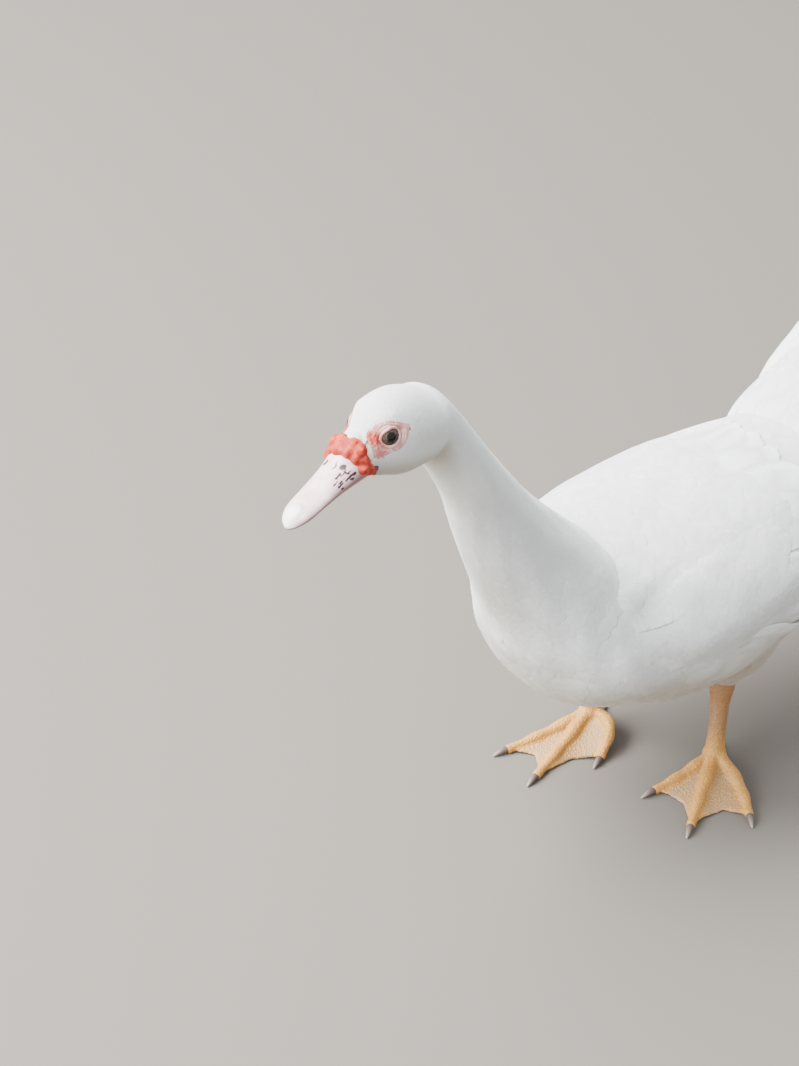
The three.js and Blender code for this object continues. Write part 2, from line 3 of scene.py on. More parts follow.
import bpy
import numpy as np
from mathutils import Matrix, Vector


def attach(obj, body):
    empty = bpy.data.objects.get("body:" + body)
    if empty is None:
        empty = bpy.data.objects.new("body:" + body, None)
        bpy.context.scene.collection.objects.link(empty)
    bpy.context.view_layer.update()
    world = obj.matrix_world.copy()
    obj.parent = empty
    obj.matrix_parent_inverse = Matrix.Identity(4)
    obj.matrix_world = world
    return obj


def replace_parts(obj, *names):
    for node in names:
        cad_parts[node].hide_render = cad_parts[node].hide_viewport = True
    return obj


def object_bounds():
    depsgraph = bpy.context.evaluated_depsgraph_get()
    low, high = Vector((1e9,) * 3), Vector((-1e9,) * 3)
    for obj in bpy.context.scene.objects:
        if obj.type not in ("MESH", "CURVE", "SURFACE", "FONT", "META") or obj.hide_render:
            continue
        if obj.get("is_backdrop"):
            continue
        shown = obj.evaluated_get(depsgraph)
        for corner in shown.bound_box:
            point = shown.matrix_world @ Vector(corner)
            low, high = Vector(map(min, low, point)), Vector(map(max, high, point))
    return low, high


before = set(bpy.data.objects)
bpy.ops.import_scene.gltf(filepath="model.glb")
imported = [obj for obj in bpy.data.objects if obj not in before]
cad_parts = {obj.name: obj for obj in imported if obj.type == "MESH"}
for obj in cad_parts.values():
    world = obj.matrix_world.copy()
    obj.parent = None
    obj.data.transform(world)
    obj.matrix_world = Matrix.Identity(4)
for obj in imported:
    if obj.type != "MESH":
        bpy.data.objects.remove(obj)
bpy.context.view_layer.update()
print("frame loaded,", len(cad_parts), "nodes")

placeShift = np.array([-9.0725, 10.032, 0.0])


def toFrame(points):
    return (np.asarray(points, float) + placeShift) / 1000.0


# materials


def newMaterial(name, color, roughness, more=None):
    material = bpy.data.materials.new(name)
    material.use_nodes = True
    shader = material.node_tree.nodes["Principled BSDF"]
    for key, value in {"Base Color": (*color, 1), "Roughness": roughness, **(more or {})}.items():
        shader.inputs[key].default_value = value
    return material, material.node_tree, shader


def feed(tree, socket, value):
    # a socket takes another node's output, a colour or a number
    if isinstance(value, bpy.types.NodeSocket):
        tree.links.new(value, socket)
    else:
        socket.default_value = (*value, 1) if isinstance(value, tuple) else value


def mixColors(tree, factor, first, second):
    mix = tree.nodes.new("ShaderNodeMix")
    mix.data_type = "RGBA"
    for place, value in ((0, factor), (6, first), (7, second)):
        feed(tree, mix.inputs[place], value)
    return mix.outputs[2]


def mathOf(tree, operation, *values):
    node = tree.nodes.new("ShaderNodeMath")
    node.operation = operation
    for socket, value in zip(node.inputs, values):
        feed(tree, socket, value)
    return node.outputs[0]


def rampOf(tree, value, low, high, outLow=0.0, outHigh=1.0):
    ramp = tree.nodes.new("ShaderNodeMapRange")
    ramp.interpolation_type = "SMOOTHSTEP"
    tree.links.new(value, ramp.inputs["Value"])
    for key, number in (("From Min", low), ("From Max", high), ("To Min", outLow), ("To Max", outHigh)):
        ramp.inputs[key].default_value = number
    return ramp.outputs["Result"]


def objectPlace(tree):
    found = tree.nodes.get("objectPlace")
    if found is None:
        found = tree.nodes.new("ShaderNodeTexCoord")
        found.name = "objectPlace"
    return found.outputs["Object"]


def noiseOf(tree, scale, detail=3.0):
    noise = tree.nodes.new("ShaderNodeTexNoise")
    noise.inputs["Scale"].default_value = scale
    noise.inputs["Detail"].default_value = detail
    tree.links.new(objectPlace(tree), noise.inputs["Vector"])
    return noise.outputs["Fac"]


def splitOf(tree, vector):
    split = tree.nodes.new("ShaderNodeSeparateXYZ")
    tree.links.new(vector, split.inputs[0])
    return split.outputs


def heightOf(tree):
    return splitOf(tree, objectPlace(tree))["Z"]


def markOf(tree, name):
    mark = tree.nodes.new("ShaderNodeAttribute")
    mark.attribute_name = name
    return mark.outputs["Fac"]


def bumpOf(tree, shader, height, strength, distance=None):
    bump = tree.nodes.new("ShaderNodeBump")
    bump.inputs["Strength"].default_value = strength
    if distance:
        bump.inputs["Distance"].default_value = distance
    tree.links.new(height, bump.inputs["Height"])
    tree.links.new(bump.outputs["Normal"], shader.inputs["Normal"])


def colorOf(tree, shader, color):
    tree.links.new(color, shader.inputs["Base Color"])


# camera, floor and lights

camera = {
    "azimuth": 48, "elevation": 37.5, "focalPixels": 3500, "distance": 2000, "seesFeetAt": (654, 732),
    "image": (799, 1066), "sensor": 36.0,
}
ground = {"size": 8.0, "color": (0.135, 0.121, 0.105)}
lamps = {
    "keyLamp": {"at": (-1.1, -0.8, 1.85), "power": 300, "color": (1, 0.99, 0.97)},
    "fillLamp": {"at": (-0.5, -2.3, 1.2), "power": 130, "color": (0.95, 0.98, 1)},
}
lampSize, lampsLookAt = 2.0, (0, 0, 0.15)
roomLight = {"color": (0.94, 0.97, 1, 1), "strength": 1.5}


def hangUp(name, data, right, up, back, at):
    # a camera or lamp at a place, looking the way that back points away from
    holder = bpy.data.objects.new(name, data)
    bpy.context.scene.collection.objects.link(holder)
    turn = np.eye(4)
    turn[:3] = np.column_stack([right, up, back, at])
    holder.matrix_world = Matrix(turn.tolist())
    return holder


def placeCamera():
    # back points from the bird to the camera; the ray through the pixel of the feet is drawn back by distance
    az, el = math.radians(camera["azimuth"]), math.radians(camera["elevation"])
    back = np.array([math.sin(az) * math.cos(el), -math.cos(az) * math.cos(el), math.sin(el)])
    right = np.array([math.cos(az), math.sin(az), 0.0])
    up = np.cross(back, right)
    (px, py), (wide, high), f = camera["seesFeetAt"], camera["image"], camera["focalPixels"]
    ray = -back + (px - wide / 2) / f * right - (py - high / 2) / f * up
    spot = -camera["distance"] * ray / np.linalg.norm(ray)
    data = bpy.data.cameras.new("photoCamera")
    data.sensor_fit = "VERTICAL"
    data.sensor_height = data.sensor_width = camera["sensor"]
    data.lens = f * camera["sensor"] / high
    data.clip_start, data.clip_end = 0.05, 50.0
    bpy.context.scene.camera = hangUp("photoCamera", data, right, up, back, toFrame(spot))


def makeFloor():
    mesh = bpy.data.meshes.new("paleFloor")
    r = ground["size"]
    mesh.from_pydata([(-r, -r, 0), (r, -r, 0), (r, r, 0), (-r, r, 0)], [], [(0, 1, 2, 3)])
    floor = bpy.data.objects.new("paleFloor", mesh)
    bpy.context.scene.collection.objects.link(floor)
    material, tree, shader = newMaterial("paleFloor", ground["color"], 0.75)
    bumpOf(tree, shader, noiseOf(tree, 60, 2.0), 0.05)
    mesh.materials.append(material)
    floor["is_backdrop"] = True


def makeLamps():
    for name, lamp in lamps.items():
        data = bpy.data.lights.new(name, "AREA")
        data.shape, data.size, data.energy, data.color = "DISK", lampSize, lamp["power"], lamp["color"]
        back = np.subtract(lamp["at"], lampsLookAt)
        back /= np.linalg.norm(back)
        right = np.cross((0, 1, 0.01), back)
        right /= np.linalg.norm(right)
        hangUp(name, data, right, np.cross(back, right), back, lamp["at"])
    world = bpy.data.worlds.new("softRoom")
    bpy.context.scene.world = world
    world.use_nodes = True
    sky = world.node_tree.nodes["Background"].inputs
    sky["Color"].default_value, sky["Strength"].default_value = roomLight["color"], roomLight["strength"]


placeCamera()
makeFloor()
makeLamps()
print("camera, floor and lamps set")

# the bird's sizes

trunkRows = [  # back y z, belly y z, half width, from the tail root to the top of the neck
    (116, 174, 146, 120, 38), (108, 168, 130, 101, 46), (94, 162, 96, 79, 57), (40, 170, 39, 65, 71),
    (-8, 169, -18, 61, 74), (-43, 166, -67, 73, 67), (-57, 168, -101, 91, 60.5), (-62, 174, -116, 118, 51),
    (-69, 183, -125, 146, 42), (-84, 199, -135, 171, 32.5), (-105, 222, -147, 200, 24.5),
    (-122, 245, -155, 225, 20.5), (-138, 269, -163, 249, 19.5),
]
headRows = [  # crown forward up, chin forward up, half width, in the head's own frame
    (-44, -6, -28, -39, 21.5), (-31, 4, -16, -36.5, 22), (-16.5, 12.2, -3, -34.5, 21),
    (-1, 14.6, 7, -29, 18.6), (12, 10.2, 15.5, -24, 15), (20.5, 4.6, 22, -19.5, 12.6),
    (24.6, 3.6, 25, -18.9, 12.3),
]
headPose = {"place": (0, -208, 317), "yaw": 9, "pitch": -4, "roll": 6, "scale": 0.92}


def turnAbout(axis, degrees):
    c, s = math.cos(math.radians(degrees)), math.sin(math.radians(degrees))
    rows = {
        "x": [[1, 0, 0], [0, c, -s], [0, s, c]],
        "y": [[c, 0, s], [0, 1, 0], [-s, 0, c]],
        "z": [[c, -s, 0], [s, c, 0], [0, 0, 1]],
    }
    return np.array(rows[axis])


headTurn = turnAbout("z", headPose["yaw"]) @ turnAbout("x", -headPose["pitch"]) @ turnAbout("y", -headPose["roll"])
headTurn = headTurn * headPose["scale"]


def inHead(side, forward, up):
    # side, forward, up of the head, turned and scaled, then carried to the head's place
    local = np.stack(np.broadcast_arrays(side, np.negative(forward), up), -1)
    return local @ headTurn.T + headPose["place"]


def splineRows(rows, t):
    # Catmull-Rom curve through rows, t counted in rows:
    # half of 2b + (c-a)f + (2a-5b+4c-d)f^2 + (3b-a-3c+d)f^3, with the ends mirrored
    rows = np.asarray(rows, float)
    padded = np.vstack([2 * rows[0] - rows[1], rows, 2 * rows[-1] - rows[-2]])
    t = np.asarray(t, float)
    i = np.clip(t.astype(int), 0, len(rows) - 2)
    f = (t - i)[..., None]
    a, b, c, d = padded[i], padded[i + 1], padded[i + 2], padded[i + 3]
    return 0.5 * (2 * b + (c - a) * f + (2 * a - 5 * b + 4 * c - d) * f**2 + (3 * b - a - 3 * c + d) * f**3)


def planeRows(rows):
    # back y z, belly y z, half width as top point, bottom point and side vector
    return [[0, r[0], r[1], 0, r[2], r[3], r[4], 0, 0] for r in rows]


headSide = inHead(1, 0, 0) - inHead(0, 0, 0)
headPlanes = [[*inHead(0, r[0], r[1]), *inHead(0, r[2], r[3]), *(headSide * r[4])] for r in headRows]
bodyRows = np.array(planeRows(trunkRows) + headPlanes)


def loftGrid(rows, rings, sides):
    # point = middle + cos(angle) * (top - bottom) / 2 + sin(angle) * side, along a spline through the rows
    v = splineRows(rows, np.linspace(0, len(rows) - 1, rings))
    top, bottom, side = v[:, None, :3], v[:, None, 3:6], v[:, None, 6:9]
    angle = (2 * np.pi * np.arange(sides) / sides)[None, :, None]
    return (top + bottom) / 2 + (top - bottom) / 2 * np.cos(angle) + side * np.sin(angle)


def surfaceTable(points, closed=True, outFrom=None):
    # a surface sampled on a grid, with its unit normals and the millimetres of one step along and round it
    along = np.gradient(points, axis=0)
    around = (np.roll(points, -1, 1) - np.roll(points, 1, 1)) / 2 if closed else np.gradient(points, axis=1)
    normal = np.cross(along, around)
    normal /= np.linalg.norm(normal, axis=-1, keepdims=True) + 1e-9
    middle = points.mean(1, keepdims=True) if outFrom is None else np.array(outFrom, float)
    if (normal * (points - middle)).sum() < 0:
        normal = -normal
    return {
        "point": points, "normal": normal, "closed": closed,
        "along": np.linalg.norm(along, axis=-1), "around": np.linalg.norm(around, axis=-1),
    }


def lookUp(table, key, ring, side):
    # bilinear value of the table at a ring and a side, both may lie between grid points
    grid = table[key]
    rings, sides = grid.shape[:2]
    ring = np.clip(ring, 0, rings - 1.001)
    side = np.mod(side, sides) if table["closed"] else np.clip(side, 0, sides - 1.001)
    i, j = ring.astype(int), side.astype(int)
    f, g = ring - i, side - j
    k = (j + 1) % sides
    if grid.ndim == 3:
        f, g = f[..., None], g[..., None]
    return (grid[i, j] * (1 - g) + grid[i, k] * g) * (1 - f) + (grid[i + 1, j] * (1 - g) + grid[i + 1, k] * g) * f


def softStep(x):
    x = np.clip(x, 0, 1)
    return x * x * (3 - 2 * x)


# meshes from arrays


def tubeFaces(rings, sides, copies=1):
    # quads between neighbouring rings and a polygon over each end
    i, j = np.arange(rings - 1)[:, None] * sides, np.arange(sides)[None]
    k = (j + 1) % sides
    quads = np.stack([i + j, i + k, i + sides + k, i + sides + j], -1).reshape(-1, 4)
    ends = np.stack([np.arange(sides)[::-1], (rings - 1) * sides + np.arange(sides)])
    shift = (np.arange(copies) * rings * sides)[:, None, None]
    return [(quads[None] + shift).reshape(-1, 4), (ends[None] + shift).reshape(-1, sides)]


def hoopFaces(rings, sides):
    # quads of a ring of rings, closed both ways
    i, j = np.arange(rings)[:, None], np.arange(sides)[None]
    i2, k = (i + 1) % rings, (j + 1) % sides
    return [np.stack([i * sides + j, i * sides + k, i2 * sides + k, i2 * sides + j], -1).reshape(-1, 4)]


def facedOut(points, faces):
    # six times the volume is the sum of a . (b x c) over the quads; a negative one means every face is turned
    p = points.reshape(-1, 3)
    q = p - p.mean(0)
    f = faces[0]
    volume = sum((q[f[:, 0]] * np.cross(q[f[:, m]], q[f[:, m + 1]])).sum() for m in (1, 2))
    return faces if volume > 0 else [g[:, ::-1] for g in faces]


def makePiece(name, points, faces, material, slot, maps=None, marks=None, crisp=None):
    points = toFrame(np.asarray(points).reshape(-1, 3))
    mesh = bpy.data.meshes.new(name)
    mesh.vertices.add(len(points))
    mesh.vertices.foreach_set("co", points.astype(np.float32).ravel())
    corners = np.concatenate([f.ravel() for f in faces]).astype(np.int32)
    counts = np.concatenate([np.full(len(f), f.shape[1]) for f in faces])
    mesh.loops.add(len(corners))
    mesh.loops.foreach_set("vertex_index", corners)
    mesh.polygons.add(len(counts))
    mesh.polygons.foreach_set("loop_start", np.concatenate([[0], np.cumsum(counts)[:-1]]).astype(np.int32))
    mesh.update(calc_edges=True)
    for mapName, uv in (maps or {}).items():
        layer = mesh.uv_layers.new(name=mapName)
        layer.data.foreach_set("uv", uv.reshape(-1, 2)[corners].astype(np.float32).ravel())
    for markName, values in (marks or {}).items():
        mark = mesh.attributes.new(markName, "FLOAT", "POINT")
        mark.data.foreach_set("value", values.astype(np.float32).ravel())
    mesh.shade_smooth()
    if crisp:
        mesh.set_sharp_from_angle(angle=math.radians(crisp))
    piece = bpy.data.objects.new(name, mesh)
    bpy.context.scene.collection.objects.link(piece)
    mesh.materials.append(material)
    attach(piece, "root")
    return piece


def joinFields(fields):
    # several fields of points and faces as one: faces of one number of corners go together
    points, faces, start = [], {}, 0
    for grid, own in fields:
        for f in own:
            faces.setdefault(f.shape[1], []).append(f + start)
        points.append(grid.reshape(-1, 3))
        start += len(points[-1])
    return np.concatenate(points), [np.concatenate(f) for f in faces.values()]


def closedTube(grid):
    return grid, facedOut(grid, tubeFaces(*grid.shape[:2]))


def joinGrids(grids):
    return joinFields(closedTube(grid) for grid in grids)


def meltTogether(piece, voxel, smoothing):
    # one closed skin over joined forms
    melt = piece.modifiers.new("melt", "REMESH")
    melt.mode, melt.voxel_size, melt.use_smooth_shade = "VOXEL", voxel / 1000, True
    soften = piece.modifiers.new("soften", "SMOOTH")
    soften.iterations, soften.factor = smoothing, 0.5
    graph = bpy.context.evaluated_depsgraph_get()
    melted = bpy.data.meshes.new_from_object(piece.evaluated_get(graph))
    piece.modifiers.clear()
    old = piece.data
    piece.data = melted
    melted.name = piece.name
    melted.materials.clear()
    for material in old.materials:
        melted.materials.append(material)
    bpy.data.meshes.remove(old)
    melted.shade_smooth()


# plumage

# top is the white; shade and low are painted shade, for feathers that face down and for the lowest parts
plumageTone = {
    "top": (0.86, 0.88, 0.86), "low": (0.42, 0.33, 0.22), "smudge": (0.66, 0.61, 0.48), "shade": (0.46, 0.4, 0.29),
    "vane": (0.62, 0.64, 0.63), "barbSpacing": 1.3, "barbSlope": 1.1, "barbDepth": 0.00012,
}


def plumageMaterial(name, barbs):
    # white above, with painted shade: darker under feathers that face down, and darker, warmer low down near the floor
    # (partly the belly's own stained tone); faint smudges, and fine barbs across each vane
    material, tree, shader = newMaterial(name, plumageTone["top"], 0.78, {
        "Sheen Weight": 0.25, "Sheen Roughness": 0.6, "Specular IOR Level": 0.25,
        "Subsurface Weight": 0.35, "Subsurface Radius": (1.0, 0.95, 0.85), "Subsurface Scale": 0.004,
    })
    # painted shade: feathers that face down take the shade colour
    under = rampOf(tree, markOf(tree, "down"), 0.0, 0.6)
    color = mixColors(tree, under, plumageTone["top"], plumageTone["shade"])
    # painted shade and floor bounce: darker and warmer below 15 cm, partly the belly's own stained tone
    color = mixColors(tree, rampOf(tree, heightOf(tree), 0.15, 0.065), color, plumageTone["low"])
    blotch = rampOf(tree, noiseOf(tree, 14, 4), 0.58, 0.78, 0.0, 0.35)
    color = mixColors(tree, blotch, color, plumageTone["smudge"])
    if not barbs:
        colorOf(tree, shader, color)
        bumpOf(tree, shader, noiseOf(tree, 900, 4), 0.3, 0.0004)
        return material
    tone = rampOf(tree, markOf(tree, "tone"), 0.0, 1.0, 0.0, 0.12)
    colorOf(tree, shader, mixColors(tree, tone, color, plumageTone["vane"]))
    vane = tree.nodes.new("ShaderNodeUVMap")
    vane.uv_map = "vane"
    across, along = splitOf(tree, vane.outputs[0])[:2]
    slope = mathOf(tree, "MULTIPLY_ADD", mathOf(tree, "ABSOLUTE", across), -plumageTone["barbSlope"], along)
    wave = mathOf(tree, "SINE", mathOf(tree, "MULTIPLY", slope, 20 * math.pi / plumageTone["barbSpacing"]))
    bumpOf(tree, shader, wave, 0.15, plumageTone["barbDepth"])
    return material


plumageSkin = plumageMaterial("downySkin", False)
plumageVane = plumageMaterial("whiteVane", True)

# the smooth body surface, and the skin that lies below the coat

stepsPerRow, bodySides = 20, 240
brow = {"rise": 0.6, "forward": 6, "reach": 9, "up": 9.6, "width": 3.0, "hollow": 2.2}


def headPlace(points):
    # side, forward, up of points, the way back from inHead
    local = (points - headPose["place"]) @ np.linalg.inv(headTurn.T)
    return local[..., 0], -local[..., 1], local[..., 2]


def withBrows(points):
    # a soft ridge over each eye: rise * exp(-(forward part)^4 - (up part)^2), pushed out sideways
    side, forward, up = headPlace(points)
    ahead, over = (forward - brow["forward"]) / brow["reach"], (up - brow["up"]) / brow["width"]
    out = np.sign(side) * softStep((np.abs(side) - 3) / 4) * brow["rise"] * np.exp(-(ahead**4) - over**2)
    hollow = brow["hollow"] * np.exp(-(((forward - 11) / 9) ** 4) - ((up - 1) / 7) ** 4)
    return inHead(side + out + hollow * softStep((-side - 4) / 5), forward, up + 0.3 * np.abs(out))


def swollen(points, amount):
    # the coat isn't quite even: low waves, two long ones and two shorter ones, run along and round it
    table = surfaceTable(points)
    row = (np.arange(points.shape[0]) / stepsPerRow)[:, None]
    a = (2 * np.pi * np.arange(points.shape[1]) / points.shape[1])[None]
    wave = np.sin(2.3 * row + 1.7 * np.sin(3 * a)) * np.sin(5 * a + 1.1 * row)
    wave = wave + 0.6 * np.sin(4.1 * row + 2 * a) * np.sin(9 * a - 0.7 * row)
    height = np.interp(row[:, 0], amount["row"], amount["height"])[:, None] * wave
    return points + table["normal"] * height[..., None]


coatSwell = {"row": [0, 3, 6, 9, 12, 14], "height": [0.2, 0.4, 0.45, 0.35, 0.15, 0]}
bodyTable = withBrows(loftGrid(bodyRows, stepsPerRow * (len(bodyRows) - 1) + 1, bodySides))
bodyTable = surfaceTable(swollen(bodyTable, coatSwell))
ringRow = np.arange(bodyTable["point"].shape[0]) / stepsPerRow

coat = {  # along the body in rows: how deep the skin lies, how far apart the roots are
    "row": [0, 5, 7.5, 9, 11, 12.5, 14, 15.5, 18],
    "depth": [5, 5, 4.4, 3.4, 2.6, 2.0, 1.4, 1.1, 0.9],
    "spacing": [7.2, 7.0, 6.0, 4.6, 3.8, 3.0, 2.1, 1.6, 1.35],
    "lengthPerSpacing": 4.1, "widthPerSpacing": 3.0,
}


def coatDepth(row):
    return np.interp(row, coat["row"], coat["depth"])


tailRootRows = [
    (116, 174, 146, 120, 38), (139, 184, 167, 143, 40), (166, 190, 186, 162, 38), (194, 196, 206, 179, 32),
    (222, 200, 227, 191, 20),
]
legs = {
    "left": {
        "heel": (37, 13, 52), "joint": (43, 4, 9), "hind": {"tip": (31, 21), "arch": 0},
        "toes": {
            "inner": {"tip": (35.5, -46), "arch": 1}, "middle": {"tip": (75.5, -51), "arch": 1},
            "outer": {"tip": (95, -16), "arch": 1, "bow": (4, 3)},
        },
    },
    "right": {
        "heel": (-36, -12, 52), "joint": (-30, -22, 9), "hind": {"tip": (-38, 2), "arch": 0},
        "toes": {
            "inner": {"tip": (4.5, -45), "arch": 6, "bow": (6, 6)}, "middle": {"tip": (-14, -86.5), "arch": 1},
            "outer": {"tip": (-45.5, -83), "arch": 1},
        },
    },
}


def limbGrid(rows, rings, sides):
    # rings of radius r stand square to a spline path: centre + r sin(a) sideways + r cos(a) above
    v = splineRows(rows, np.linspace(0, len(rows) - 1, rings))
    centre, radius = v[:, :3], v[:, 3]
    way = np.gradient(centre, axis=0)
    way /= np.linalg.norm(way, axis=1, keepdims=True)
    sideways = np.cross((0, 0, 1), way)
    steep = np.linalg.norm(sideways, axis=1) < 0.5
    sideways[steep] = (1, 0, 0)
    sideways -= way * (sideways * way).sum(1, keepdims=True)
    sideways /= np.linalg.norm(sideways, axis=1, keepdims=True)
    above = np.cross(way, sideways)
    a = (2 * np.pi * np.arange(sides) / sides)[None, :, None]
    return centre[:, None] + radius[:, None, None] * (sideways[:, None] * np.sin(a) + above[:, None] * np.cos(a))


def thighRows(heel, less=0.0):
    # rows of share of the heel's x, y behind the heel, height and radius, drawn in by less
    rows = ((1.12, 6, 112, 27), (1.12, 5, 96, 25), (1.08, 4, 80, 21), (1.02, 2, 66, 14), (1, 0.5, 57, 8.6))
    return [(heel[0] * x, heel[1] + y, z, r - less * (1 if r > 10 else 0.6)) for x, y, z, r in rows]


def makeSkin():
    # body, thighs and tail root drawn in by the coat's depth and melted into one closed skin
    depth = coatDepth(ringRow)[:, None, None]
    body = (bodyTable["point"] - bodyTable["normal"] * depth)[::2, ::4]
    tail = surfaceTable(loftGrid(planeRows(tailRootRows), 40, 60))
    tailCore = tail["point"] - tail["normal"] * 3.5
    thighs = [limbGrid(thighRows(leg["heel"], 3.2), 30, 36) for leg in legs.values()]
    points, faces = joinGrids([body, tailCore, *thighs])
    skin = makePiece("skin", points, faces, plumageSkin, "plumage")
    meltTogether(skin, 2.0, 4)
    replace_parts(skin, "torso", "neck_lower", "neck_upper", "head", "thigh_left", "thigh_right")
    return skin


skin = makeSkin()
print("skin:", len(skin.data.polygons), "faces")

# the roof that the folded wings lie on

mantleRows = np.array([
    (-92, 132, 45, 55), (-60, 122, 46, 65), (-10, 115, 52, 73.5), (40, 117.5, 49.5, 70.5), (90, 121, 38.5, 60),
    (140, 130, 31, 52), (190, 141, 27, 46), (230, 151, 26, 44),
], float)
mantleCurve = splineRows(mantleRows, np.linspace(0, len(mantleRows) - 1, 400))


def onMantle(y, arc, lift, side=1):
    # the folded wing lies on a rounded roof: x = (wide + lift) sin a, z = middle + (high + lift) cos a,
    # where a is the arc length from the middle of the back over the mean radius
    middle, high, wide = (np.interp(y, mantleCurve[:, 0], mantleCurve[:, k]) for k in (1, 2, 3))
    a = arc / (0.5 * (high + wide))
    return np.stack(np.broadcast_arrays(side * (wide + lift) * np.sin(a), y, middle + (high + lift) * np.cos(a)), -1)


wing = {"from": -84, "to": 102, "thick": 5.2}


def wingEdges(t):
    # upper and lower edge of the folded wing at a share t of its length, as arcs from the middle of the back
    reach = np.sqrt(np.maximum(1 - (2 * t - 1) ** 4, 0.02))
    return 26 - 6 * t + 16 * (1 - reach), 34 + (72 - 22 * t) * reach


def mantlePlace(p):
    # the way back from onMantle: y, arc and height over the roof
    middle, high, wide = (np.interp(p[..., 1], mantleCurve[:, 0], mantleCurve[:, k]) for k in (1, 2, 3))
    across, over = np.abs(p[..., 0]) / wide, (p[..., 2] - middle) / high
    mean = 0.5 * (high + wide)
    return p[..., 1], np.arctan2(across, over) * mean, (np.hypot(across, over) - 1) * mean


bodyGrid = {"y": (-104, 124), "arc": (0, 132), "step": 2.0}


def bodyOverMantle():
    # height of the body's surface over the roof on a regular grid of y and arc: the nearest surface point's
    points = bodyTable["point"][: 10 * stepsPerRow : 2, ::3]
    y, arc, height = mantlePlace(points[points[..., 0] > -2])
    ys, arcs = (np.arange(bodyGrid[k][0], bodyGrid[k][1] + 1, bodyGrid["step"]) for k in ("y", "arc"))
    rows = [height[((y[None] - at) ** 2 + (arc[None] - arcs[:, None]) ** 2).argmin(1)] for at in ys]
    grid = np.array(rows)
    for _ in range(3):  # smoothed three times
        padded = np.pad(grid, 1, mode="edge")
        grid = (padded[:-2, 1:-1] + padded[2:, 1:-1] + padded[1:-1, :-2] + padded[1:-1, 2:] + 2 * grid) / 6
    return grid


bodyOver = {"height": bodyOverMantle(), "closed": False}


def bodyHeight(y, arc):
    at = (np.asarray(y) - bodyGrid["y"][0]) / bodyGrid["step"]
    over = (np.asarray(arc) - bodyGrid["arc"][0]) / bodyGrid["step"]
    return lookUp(bodyOver, "height", *np.broadcast_arrays(at, over))


def mantleWave(y, arc):
    # the same kind of low waves on the wings and shoulders
    return 0.4 * (np.sin(y / 11 + 1.5 * np.sin(arc / 16)) * np.sin(arc / 10 + y / 37)
                  + 0.6 * np.sin(y / 6.1 + arc / 9) * np.sin(arc / 6.3 - y / 23))


def wingShare(y, arc):
    # shares of the way along the wing and across it
    t = (y - wing["from"]) / (wing["to"] - wing["from"])
    upper, lower = wingEdges(np.clip(t, 0, 1))
    return t, (arc - upper) / (lower - upper)


def wingLift(y, arc):
    # how far the wing stands over the mantle: it swells softly from the body's own surface at every edge
    t, s = wingShare(y, arc)
    soft = softStep(t / 0.24) * softStep((1 - t) / 0.25) * softStep(s / 0.24) * softStep((1 - s) / 0.3)
    body = np.clip(bodyHeight(y, arc), -9, 4)
    swell = np.maximum(0.3 + wing["thick"] - 2.0 * np.clip(t, 0, 1), body + 1.4)
    return (body - 0.5) * (1 - soft) + (swell + mantleWave(y, arc)) * soft


def overWing(points, roots, proud=0.25):
    # feathers rooted just outside the wing's front and lower edge run up over it: whatever of them comes
    # within its outline is lifted to the wing's own height
    y, arc, _ = mantlePlace(roots)
    t, s = wingShare(y, arc)
    near = (t < 0.75) & (s > -0.1) & (s < 1.5) & ((t < 0.07) | (s > 0.97))
    y, arc, height = mantlePlace(points)
    t, s = wingShare(y, arc)
    inside = softStep((t + 0.03) / 0.1) * softStep((1.04 - s) / 0.1) * softStep((s + 0.1) / 0.1)
    short = np.clip(wingLift(y, arc) + proud - height, 0, 7) * inside * near[:, None, None]
    away = points - np.stack([0 * y, y, np.interp(y, mantleCurve[:, 0], mantleCurve[:, 1])], -1)
    away /= np.linalg.norm(away, axis=-1, keepdims=True) + 1e-6
    return points + away * short[..., None]


# feathers that follow a surface


def plantRows(table, spacing, seed):
    # roots in rows round the surface: the rows are one spacing apart, each row is filled at one spacing
    # and set off by half a place, then every root is moved a little
    draw = np.random.default_rng(seed)
    rings, sides = table["along"].shape
    spacing = np.broadcast_to(spacing, rings)
    reach = np.concatenate([[0], np.cumsum((table["along"].mean(1) / spacing)[:-1])])
    rowRing = np.interp(np.arange(0.5, reach[-1]), reach, np.arange(rings))
    rowGap = np.interp(rowRing, np.arange(rings), spacing)
    girth = np.interp(rowRing, np.arange(rings), table["around"].sum(1))
    counts = np.maximum(np.round(girth / rowGap), 3).astype(int)
    ring = np.repeat(rowRing, counts)
    gap = np.repeat(rowGap, counts)
    first = np.repeat(np.cumsum(counts) - counts, counts)
    place = np.arange(counts.sum()) - first + 0.5 * np.repeat(np.arange(len(counts)) % 2, counts)
    side = place / np.repeat(counts, counts) * (sides if table["closed"] else sides - 1)
    ring = ring + draw.uniform(-0.3, 0.3, len(ring)) * gap / np.maximum(lookUp(table, "along", ring, side), 0.05)
    side = side + draw.uniform(-0.22, 0.22, len(ring)) * gap / np.maximum(lookUp(table, "around", ring, side), 0.05)
    stretch = lookUp(table, "along", ring, side) / np.interp(ring, np.arange(rings), table["along"].mean(1))
    return ring, side, gap, stretch, draw


